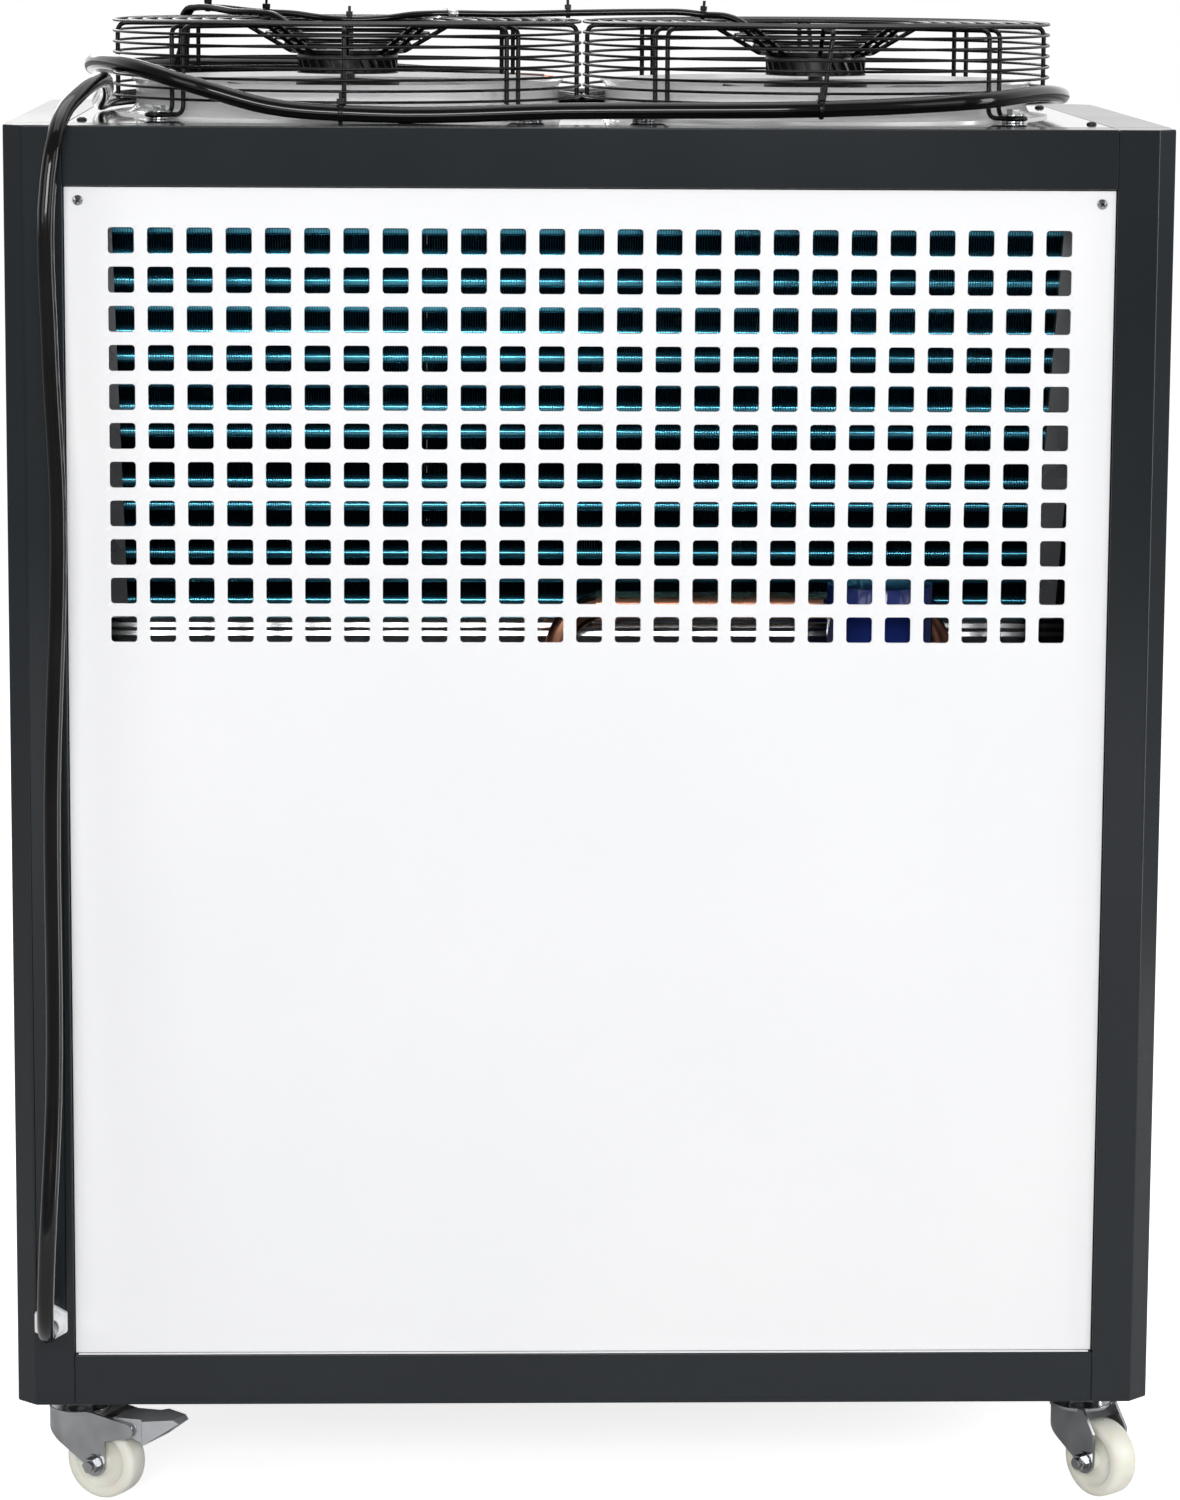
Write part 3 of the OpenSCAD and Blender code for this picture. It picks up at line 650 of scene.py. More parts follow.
@dataclass(frozen=True)
class Finish:
    """One surface finish, dressed from the shared effects."""

    name: str
    slot: str
    colour: Colour
    tint: Colour
    rough: Flat
    metallic: float = 0.0
    specular: float = 0.5
    coat: float = 0.0
    coat_rough: float = 0.1
    grain: Grain = Grain.PEEL
    grain_scale: float = 300.0
    bump: float = 0.1
    bump_depth: float = 0.1
    patch: float = 5.0
    dust: float = 0.0
    subsurface: float = 0.0

    def material(self) -> bpy.types.Material:
        """The material of this finish, made on first use."""
        ready = bpy.data.materials.get("finish_" + self.name)
        return ready or self.build()

    def build(self) -> bpy.types.Material:
        """Make the material.

        Returns:
            A material whose colour, gloss and relief vary over the surface.
        """
        made = bpy.data.materials.new("finish_" + self.name)
        made.diffuse_color = (*self.colour, 1.0)
        w = NodeWiring.bare(made)
        mottle = self.effect(w, "mottle", {
            "Colour": (*self.colour, 1.0), "Tint": (*self.tint, 1.0), "Scale": self.patch,
            "Low": self.rough[0], "High": self.rough[1],
        }).outputs
        relief = self.effect(w, self.grain.value, {"Scale": self.grain_scale})
        bump = w.node("ShaderNodeBump", {
            "Strength": self.bump, "Distance": self.bump_depth * MM, "Height": relief.outputs["Height"],
        })
        shader = w.node("ShaderNodeBsdfPrincipled", {
            "Base Color": self.dusted(w, mottle["Colour"]) if self.dust else mottle["Colour"],
            "Roughness": mottle["Roughness"], "Normal": bump.outputs["Normal"],
            "Metallic": self.metallic, "Specular IOR Level": self.specular,
            "Coat Weight": self.coat, "Coat Roughness": self.coat_rough,
            "Subsurface Weight": self.subsurface, "Subsurface Scale": SUBSURFACE_REACH * MM,
        })
        w.node("ShaderNodeOutputMaterial", {"Surface": shader.outputs["BSDF"]})
        return made

    def effect(self, w: NodeWiring, name: str, inputs: Inputs) -> bpy.types.Node:
        """Place a shared effect in the material, with this finish's values."""
        return w.node("ShaderNodeGroup", inputs, node_tree=EffectShelf.get(name))

    def dusted(self, w: NodeWiring, colour: bpy.types.NodeSocket) -> bpy.types.NodeSocket:
        """Lay settled dust over a colour.

        Args:
            w: Wiring of the material.
            colour: Colour below the dust.

        Returns:
            The dusted colour.
        """
        mask = self.effect(w, "dust", {"Amount": self.dust}).outputs["Mask"]
        mix = w.node("ShaderNodeMix", {0: mask, 6: colour, 7: DUST_COLOUR}, data_type="RGBA")
        return mix.outputs[2]


class Palette:
    """Every finish on the chiller."""

    frame_coat = Finish("frame_coat", "frame_paint", (0.012, 0.0150, 0.0180), (0.015, 0.0185, 0.0215),
                        (0.12, 0.17), specular=0.3, grain_scale=420, bump=0.03, patch=3.0, dust=0.05)
    cover_coat = Finish("cover_coat", "frame_paint", (0.014, 0.0170, 0.0200), (0.018, 0.0215, 0.0245),
                        (0.05, 0.08), specular=0.6, coat=0.8, coat_rough=0.04, grain_scale=420, bump=0.02,
                        patch=3.0, dust=0.1)
    panel_coat = Finish("panel_coat", "panel_paint", (0.82, 0.825, 0.84), (0.85, 0.85, 0.86), (0.36, 0.44),
                        specular=0.3, grain_scale=520, bump=0.08, patch=2.2)
    # The fins are the same blue coated stock as the tube collars, made far darker as painted shade of the
    # deep gaps between them.
    fin_blue_painted_shade = Finish("fin_blue_painted_shade", "fin_stock", (0.005, 0.060, 0.105), (0.009, 0.085, 0.145), (0.20, 0.30),
                      metallic=0.8, grain=Grain.BRUSHED, grain_scale=300, bump=0.05, patch=14)
    # The tube collars are the same blue coated stock as the fins, made far brighter as painted highlight.
    tube_blue_painted_highlight = Finish("tube_blue_painted_highlight", "fin_stock", (0.12, 0.60, 0.84), (0.18, 0.70, 0.92), (0.16, 0.24),
                       metallic=0.8, grain=Grain.BRUSHED, grain_scale=260, bump=0.05, patch=20)
    galvanised = Finish("galvanised", "galvanised", (0.46, 0.47, 0.49), (0.56, 0.57, 0.59), (0.24, 0.36),
                        metallic=0.6, grain=Grain.SPANGLE, grain_scale=90, bump=0.12, patch=22)
    # The collars' near white, almost matt colour is painted reflection of the white room on pale galvanised
    # steel, raised further to offset the guard wires' shadows.
    collar_painted_reflection = Finish("collar_painted_reflection", "galvanised", (0.97, 0.97, 0.975), (0.93, 0.93, 0.94), (0.10, 0.18),
                         metallic=0.05, grain=Grain.SPANGLE, grain_scale=60, bump=0.03, patch=16)
    stainless = Finish("stainless", "stainless", (0.62, 0.62, 0.63), (0.70, 0.70, 0.71), (0.08, 0.12),
                       metallic=1.0, grain=Grain.BRUSHED, grain_scale=420, bump=0.02, patch=9)
    black_enamel = Finish("black_enamel", "black_paint", (0.005, 0.005, 0.006), (0.009, 0.009, 0.010),
                          (0.34, 0.44), specular=0.3, grain_scale=380, bump=0.1, patch=9)
    motor_enamel = Finish("motor_enamel", "black_paint", (0.012, 0.012, 0.013), (0.018, 0.018, 0.020),
                          (0.18, 0.26), specular=0.6, grain_scale=380, bump=0.06, patch=9)
    blue_enamel = Finish("blue_enamel", "blue_paint", (0.012, 0.030, 0.20), (0.018, 0.040, 0.26),
                         (0.16, 0.22), coat=0.5, grain_scale=260, bump=0.06, patch=7)
    copper = Finish("copper", "copper", (0.80, 0.40, 0.26), (0.66, 0.30, 0.19), (0.18, 0.32), metallic=1.0,
                    grain=Grain.BRUSHED, grain_scale=260, bump=0.08, patch=26)
    brass = Finish("brass", "brass", (0.68, 0.50, 0.22), (0.58, 0.42, 0.18), (0.22, 0.32), metallic=1.0,
                   grain=Grain.BRUSHED, grain_scale=500, bump=0.08, patch=30)
    guard_wire = Finish("guard_wire", "black_wire", (0.003, 0.003, 0.0035), (0.005, 0.005, 0.0055),
                        (0.22, 0.32), specular=0.25, grain_scale=500, bump=0.06, patch=24)
    zinc = Finish("zinc", "zinc", (0.29, 0.295, 0.305), (0.40, 0.405, 0.415), (0.14, 0.24), metallic=1.0,
                  grain=Grain.BRUSHED, grain_scale=300, bump=0.05, patch=30)
    # The pedal is the same zinc as the fork, made lighter and more diffuse as painted light, since it lies
    # in the shade under the base.
    pedal_zinc_painted_light = Finish("pedal_zinc_painted_light", "zinc", (0.40, 0.41, 0.43), (0.48, 0.49, 0.51), (0.12, 0.20),
                        metallic=0.5, grain=Grain.BRUSHED, grain_scale=300, bump=0.04, patch=30)
    sheath = Finish("sheath", "black_rubber", (0.003, 0.003, 0.0035), (0.005, 0.005, 0.0055), (0.12, 0.18),
                    specular=0.15, coat=0.4, coat_rough=0.06, grain=Grain.SKIN, grain_scale=220, bump=0.03,
                    patch=16)
    gland_nylon = Finish("gland_nylon", "white_nylon", (0.80, 0.81, 0.82), (0.74, 0.75, 0.76), (0.36, 0.46),
                         grain=Grain.SKIN, grain_scale=260, bump=0.06, patch=60, subsurface=0.1)
    wheel_nylon = Finish("wheel_nylon", "cream_nylon", (0.86, 0.86, 0.79), (0.80, 0.78, 0.67), (0.26, 0.38),
                         grain=Grain.SKIN, grain_scale=140, bump=0.08, patch=34, subsurface=0.25)
    foil = Finish("foil", "zinc", (0.78, 0.79, 0.80), (0.70, 0.71, 0.73), (0.20, 0.34), metallic=0.8,
                  grain=Grain.SKIN, grain_scale=160, bump=0.3, patch=70)
    core_brown = Finish("core_brown", "black_rubber", (0.12, 0.05, 0.025), (0.15, 0.06, 0.03), (0.35, 0.45),
                        grain=Grain.SKIN, bump=0.05, patch=60)
    core_blue = Finish("core_blue", "black_rubber", (0.02, 0.07, 0.30), (0.03, 0.09, 0.34), (0.35, 0.45),
                       grain=Grain.SKIN, bump=0.05, patch=60)
    core_green = Finish("core_green", "black_rubber", (0.05, 0.28, 0.05), (0.45, 0.42, 0.05), (0.35, 0.45),
                        grain=Grain.SKIN, bump=0.05, patch=90)


def dress(names: Sequence[str], finish: Finish, bevel: float = 0.0) -> None:
    """Give frame nodes a finish and eased edges.

    Args:
        names: The nodes.
        finish: Their finish.
        bevel: Width of the eased edges in millimetres.
    """
    for name in names:
        piece = frame["nodes"][name]
        piece.data.materials.clear()
        piece.data.materials.append(finish.material())
        if bevel:
            ease_edges(piece, bevel)
        LOG.info("frame node %s takes %s", name, finish.name)


@dataclass
class Studio:
    """Camera, pale floor, soft lamps and white surroundings."""

    eye: Point = (-125.68, -4173.26, 1259.27)
    right: Point = (0.999486, -0.031501, 0.005923)
    up: Point = (-0.000726, 0.162485, 0.986711)
    forward: Point = (0.032045, 0.986208, -0.162378)
    sensor: float = 24.0
    lens: float = 81.346
    sight: float = 200.0
    floor_half: float = 30000.0
    floor_colour: Colour = (0.86, 0.86, 0.86)
    floor_glow: float = 0.8
    surroundings: float = 0.3
    front_gleam: float = 0.2
    gleam_span: Flat = (-0.1, 0.45)
    aim: Point = (0, 0, 560)
    lamps: tuple[tuple[str, Point, Flat, float], ...] = (
        ("lamp_key", (-300, -5200, 2100), (2200, 1200), 113),
        ("lamp_front_left", (-2900, -3200, 2200), (2000, 2000), 27),
        ("lamp_front_right", (2900, -3100, 2000), (2000, 2000), 23),
        ("lamp_top", (0, 300, 3600), (2600, 2600), 36),
        ("lamp_strip_right", (2600, -560, 900), (500, 2200), 24),
        ("lamp_rear", (-1200, 4300, 2500), (2600, 1800), 40),
    )

    def build(self) -> None:
        """Set up the whole studio."""
        self.place_camera()
        self.lay_floor()
        self.hang_lamps()
        self.paint_world()
        bpy.context.scene.view_settings.view_transform = "Standard"

    def place_camera(self) -> None:
        """Stand the camera where the photograph was taken."""
        data = bpy.data.cameras.new("camera")
        data.sensor_fit = "VERTICAL"
        data.sensor_height = self.sensor
        data.lens = self.lens
        data.clip_end = self.sight
        camera = bpy.data.objects.new("camera", data)
        turn = Matrix((self.right, self.up, [-c for c in self.forward])).transposed().to_4x4()
        camera.matrix_world = Matrix.Translation(Vector(self.eye) * MM) @ turn
        link(camera)
        bpy.context.scene.camera = camera

    def lay_floor(self) -> None:
        """A wide pale floor that keeps the shadow under the chiller."""
        h = self.floor_half * MM
        mesh = bpy.data.meshes.new("floor")
        mesh.from_pydata([(-h, -h, 0), (h, -h, 0), (h, h, 0), (-h, h, 0)], [], [(0, 1, 2, 3)])
        paint = bpy.data.materials.new("floor_white")
        w = NodeWiring.bare(paint)
        seen = w.node("ShaderNodeLightPath").outputs["Is Camera Ray"]
        matt = w.node("ShaderNodeBsdfDiffuse", {"Color": (*self.floor_colour, 1.0)})
        glow = w.node("ShaderNodeEmission", {"Strength": w.maths("MULTIPLY", seen, self.floor_glow)})
        both = w.node("ShaderNodeAddShader", {0: matt.outputs["BSDF"], 1: glow.outputs["Emission"]})
        w.node("ShaderNodeOutputMaterial", {"Surface": both.outputs["Shader"]})
        mesh.materials.append(paint)
        floor = bpy.data.objects.new("floor", mesh)
        link(floor)

    def hang_lamps(self) -> None:
        """Large soft boxes in front, at both sides, overhead and behind, and a tall strip at the right."""
        aim = Vector(self.aim) * MM
        for name, spot, size, power in self.lamps:
            data = bpy.data.lights.new(name, "AREA")
            data.shape = "RECTANGLE"
            data.size, data.size_y = size[0] * MM, size[1] * MM
            data.energy = power
            lamp = bpy.data.objects.new(name, data)
            lamp.location = Vector(spot) * MM
            lamp.rotation_euler = (aim - lamp.location).to_track_quat("-Z", "Y").to_euler()
            link(lamp)

    def paint_world(self) -> None:
        """White seen directly and mirrored from behind, dim from the camera side, soft as light."""
        world = bpy.data.worlds.new("white_room")
        w = NodeWiring.bare(world)
        place = w.node("ShaderNodeTexCoord").outputs["Generated"]
        away = w.node("ShaderNodeSeparateXYZ", {"Vector": place}).outputs["Y"]
        behind = w.node("ShaderNodeMapRange", {
            "Value": away, "From Min": self.gleam_span[0], "From Max": self.gleam_span[1],
            "To Min": self.front_gleam,
        })
        path = w.node("ShaderNodeLightPath").outputs
        direct = w.maths("MAXIMUM", path["Is Camera Ray"], path["Is Transmission Ray"])
        mirrored = w.maths("MULTIPLY", path["Is Glossy Ray"], behind.outputs["Result"])
        other = w.maths("SUBTRACT", w.maths("SUBTRACT", 1.0, direct), path["Is Glossy Ray"])
        rest = w.maths("MULTIPLY", other, self.surroundings)
        strength = w.maths("ADD", w.maths("ADD", direct, mirrored), rest)
        sky = w.node("ShaderNodeBackground", {"Color": (1.0, 1.0, 1.0, 1.0), "Strength": strength})
        w.node("ShaderNodeOutputWorld", {"Surface": sky.outputs["Background"]})
        bpy.context.scene.world = world


@dataclass
class SupplyCable:
    """The heavy supply cable: gland, up the corner, round the top, bare end."""

    diameter: float = 13.0
    length: float = 3914.0
    steps: int = 6
    core_d: float = 4.0
    core_len: float = 34.0
    core_sunk: float = 4.0
    core_spread: Point = (2.6, 3.2, 3.4)
    core_coat: float = 0.7
    copper_len: float = 8.0
    route: list[Point] = field(default_factory=lambda: [
        (-422, -290, 159), (-422, -304, 159), (-421.5, -325, 163), (-421, -344, 175), (-420, -356, 194),
        (-419, -360, 215), (-413, -341, 353), (-413, -322, 585), (-407, -310, 814), (-412, -306, 930),
        (-412, -303.5, 1057), (-409, -298.5, 1080), (-406, -287, 1096), (-402, -269, 1108),
        (-393, -238, 1120), (-379, -160, 1129), (-380, -110, 1121), (-391, -10, 1106), (-386, 72, 1105.5),
        (-352, 162, 1105.5), (-280, 202, 1105), (0, 214, 1105), (280, 202, 1105), (352, 162, 1106),
        (386, 72, 1111), (390, -20, 1115), (362, -110, 1120), (300, -188, 1116), (220, -211, 1112),
        (-20, -210, 1108), (-170, -210, 1105), (-250, -210, 1111), (-308, -207, 1127), (-352, -176, 1139),
        (-379, -122, 1142.5), (-396, 0, 1134), (-379, 118, 1131), (-330, 184, 1130), (-230, 216, 1129),
        (-60, 214, 1120),
    ])

    def build(self) -> None:
        """Lay the cable and its bare cores."""
        path = smooth_route(self.route, self.steps)
        kit = MeshKit()
        kit.tube(path, self.diameter / 2, 20)
        cable = kit.make("supply_cable", [Palette.sheath], replaces=["power_cable"], crease=60)
        cores = self.bare_cores(path)

    def bare_cores(self, path: Sequence[Vector]) -> bpy.types.Object:
        """Three insulated cores that come out of the cut sheath.

        Args:
            path: Centreline of the cable.

        Returns:
            The piece with the cores.
        """
        end, ahead = path[-1], (path[-1] - path[-2]).normalized()
        side = ahead.cross(Vector((0, 0, 1))).normalized()
        lift = side.cross(ahead)
        near, mid, far = self.core_spread
        kit = MeshKit()
        for k in range(3):
            a = math.radians(90 + 120 * k)
            out = math.cos(a) * side + math.sin(a) * lift
            start = end - ahead * self.core_sunk + out * near
            bend = end + ahead * self.core_len * 0.5 + out * mid
            tip = end + ahead * self.core_len + out * far
            kit.tube([start, bend, tip], self.core_d / 2, 12, mark=k)
            strands = [tip - ahead, tip + ahead * self.copper_len]
            kit.tube(strands, self.core_d / 2 - self.core_coat, 10, mark=3)
        finishes = [Palette.core_brown, Palette.core_blue, Palette.core_green, Palette.copper]
        return kit.make("cable_cores", finishes)


@dataclass
class Cabinet:
    """Folded frame, screws, and pale strips at the foot of the long panels, laid as painted reflection of
    the panels in the base rail.
    """

    ease: float = 1.2
    fine_ease: float = 0.4
    screw_r: float = 4.0
    screw_h: float = 2.2
    screw_inset: Flat = (10.5, 10.0)
    cross: Flat = (0.62, 0.11)
    sill_w: float = 3.0
    sill_h: float = 0.8
    sill_gap: float = 0.4
    sill_short: float = 2.0
    corner_screw: Flat = (395.0, 173.0)

    def build(self) -> None:
        """Dress the frame and add its small pieces."""
        dress(["corner_posts", "base_rails", "top_rails"], Palette.frame_coat, self.ease)
        dress(["base_plate", "coil_stands"], Palette.frame_coat)
        dress(["top_plate"], Palette.cover_coat)
        dress(["left_panel", "right_panel"], Palette.panel_coat, self.fine_ease)
        dress(["water_ports"], Palette.brass, self.fine_ease)
        self.drive_screws()
        self.lay_sill()

    def screw(self, kit: MeshKit, spot: Vector, outward: Vector) -> None:
        """A pan head with a cross recess.

        Args:
            kit: Piece that takes the screw.
            spot: Middle of its seat.
            outward: Direction of the head.
        """
        place = standing(spot, outward)
        r, h = self.screw_r, self.screw_h
        dome = [(r, 0.0), (r, 0.35 * h)]
        dome += [(r * math.cos(a), 0.35 * h + 0.65 * h * math.sin(a)) for a in (0.4, 0.8, 1.15)]
        dome += [(0.34 * r, h), (0.26 * r, 0.55 * h)]
        kit.lathe(dome, place, 24)
        x, y = self.cross[0] * r, self.cross[1] * r
        for turn in (45, 135):
            slot = turned([(-x, -y), (x, -y), (x, y), (-x, y)], turn)
            kit.prism(slot, 0.9 * h, 1.03 * h, place, 1)

    def drive_screws(self) -> None:
        """Screws at the top corners of the panels and on the cover."""
        kit = MeshKit()
        inset, drop = self.screw_inset
        long_sides = (("front_panel", 1, -1), ("rear_panel", 1, 1))
        short_sides = (("left_panel", 0, -1), ("right_panel", 0, 1))
        for name, axis, sign in long_sides + short_sides:
            low, high = node_box(name)
            outward = Vector((0, 0, 0))
            outward[axis] = sign
            for end in (low[1 - axis] + inset, high[1 - axis] - inset):
                spot = Vector((end, end, high.z - drop))
                spot[axis] = low[axis] if sign < 0 else high[axis]
                self.screw(kit, spot, outward)
        kit.make("panel_screws", [Palette.zinc, Palette.black_enamel], crease=30)
        top = node_box("top_plate")[1].z
        cover = MeshKit()
        for sx in (-1, 1):
            for sy in (-1, 1):
                spot = Vector((sx * self.corner_screw[0], sy * self.corner_screw[1], top))
                self.screw(cover, spot, Vector((0, 0, 1)))
        cover.make("cover_screws", [Palette.black_enamel, Palette.black_enamel], crease=30)

    def lay_sill(self) -> None:
        """Pale strip on the base rail, in front of each long panel's foot, that is a painted reflection of
        the white panel in the rail's ledge.
        """
        kit = MeshKit()
        sill = node_box("base_rails")[1].z
        for name, sign in (("front_panel", -1), ("rear_panel", 1)):
            low, high = node_box(name)
            face = low.y if sign < 0 else high.y
            near, far = sorted(face + sign * (self.sill_gap + w) for w in (0.0, self.sill_w))
            kit.block((low.x + self.sill_short, near, sill),
                      (high.x - self.sill_short, far, sill + self.sill_h))
        kit.make("sill_reflection_strips", [Palette.panel_coat], bevel=0.25)


@dataclass
class PerforatedPanel:
    """A long side panel: sheet with rows of square holes that have round corners."""

    node: str
    pitch: float = 30.0
    hole: float = 20.0
    corner: float = 2.6
    rows: int = 11
    margin: float = 30.5
    ease: float = 0.35
    corner_steps: int = 4

    def outline(self, half: float, corner: float) -> list[Flat]:
        """Outline of one hole, corner by corner.

        Args:
            half: Half of the hole's side.
            corner: Corner radius.

        Returns:
            Points of the outline, five to a corner.
        """
        points = []
        for quarter, (sx, sy) in enumerate(((1, 1), (-1, 1), (-1, -1), (1, -1))):
            middle = (sx * (half - corner), sy * (half - corner))
            points += arc(middle, corner, quarter * 90, quarter * 90 + 90, self.corner_steps)
        return points

    def build(self) -> None:
        """Make the sheet in place of its node."""
        low, high = node_box(self.node)
        rear = high.y > 0
        faces_y = (high.y, low.y) if rear else (low.y, high.y)
        width = high.x - low.x
        columns = int((width - 2 * self.margin - self.hole) / self.pitch) + 1
        first_x = -(columns - 1) * self.pitch / 2
        first_z = high.z - self.margin - self.hole / 2
        xs = [low.x] + [first_x + (c - 0.5) * self.pitch for c in range(columns + 1)] + [high.x]
        top_line = first_z + self.pitch / 2
        zs = [high.z] + [top_line - r * self.pitch for r in range(self.rows + 1)] + [low.z]
        kit = MeshKit()
        for i in range(len(xs) - 1):
            for j in range(len(zs) - 1):
                cell = (xs[i], xs[i + 1], zs[j + 1], zs[j])
                if 0 < i < len(xs) - 2 and 0 < j < len(zs) - 2:
                    self.holed_cell(kit, cell, faces_y)
                else:
                    self.plain_cell(kit, cell, faces_y)
        self.edges(kit, xs, zs, faces_y)
        kit.make(self.node + "_sheet", [Palette.panel_coat], replaces=[self.node], crease=40)

    def plain_cell(self, kit: MeshKit, cell: Sequence[float], faces_y: Flat) -> None:
        """Front and back of an unholed cell.

        Args:
            kit: Piece that takes the cell.
            cell: Its left, right, lower and upper bounds.
            faces_y: Places of the outer and inner face.
        """
        x0, x1, z0, z1 = cell
        for y in faces_y:
            kit.quad((x0, y, z0), (x1, y, z0), (x1, y, z1), (x0, y, z1))

    def holed_cell(self, kit: MeshKit, cell: Sequence[float], faces_y: Flat) -> None:
        """Front, eased rim, wall and back of a cell with its hole.

        Args:
            kit: Piece that takes the cell.
            cell: Its left, right, lower and upper bounds.
            faces_y: Places of the outer and inner face.
        """
        x0, x1, z0, z1 = cell
        middle = Vector(((x0 + x1) / 2, 0, (z0 + z1) / 2))
        outer, inner = faces_y
        rim = outer + (self.ease if inner > outer else -self.ease)
        rings = [(self.hole / 2 + self.ease, outer), (self.hole / 2, rim), (self.hole / 2, inner)]
        corners = [(x1, z1), (x0, z1), (x0, z0), (x1, z0)]
        k = self.corner_steps + 1
        n = 4 * k
        verts = [Vector((x, outer, z)) for x, z in corners] + [Vector((x, inner, z)) for x, z in corners]
        for half, y in rings:
            verts += [middle + Vector((x, y, z)) for x, z in self.outline(half, self.corner)]
        faces = []
        for base, ring in ((0, 8), (4, 8 + 2 * n)):
            for q in range(4):
                for s in range(self.corner_steps):
                    faces.append((base + q, ring + q * k + s, ring + q * k + s + 1))
                after = (q + 1) % 4
                faces.append((base + q, ring + q * k + k - 1, ring + after * k, base + after))
        for level in range(2):
            a, b = 8 + level * n, 8 + (level + 1) * n
            faces += [(a + i, a + (i + 1) % n, b + (i + 1) % n, b + i) for i in range(n)]
        kit.add(verts, faces)

    def edges(self, kit: MeshKit, xs: Sequence[float], zs: Sequence[float], faces_y: Flat) -> None:
        """Cut edges round the sheet.

        Args:
            kit: Piece that takes the edges.
            xs: Column lines.
            zs: Row lines.
            faces_y: Places of the outer and inner face.
        """
        a, b = faces_y
        for z in (zs[0], zs[-1]):
            for x0, x1 in zip(xs, xs[1:]):
                kit.quad((x0, a, z), (x1, a, z), (x1, b, z), (x0, b, z))
        for x in (xs[0], xs[-1]):
            for z0, z1 in zip(zs, zs[1:]):
                kit.quad((x, a, z0), (x, a, z1), (x, b, z1), (x, b, z0))


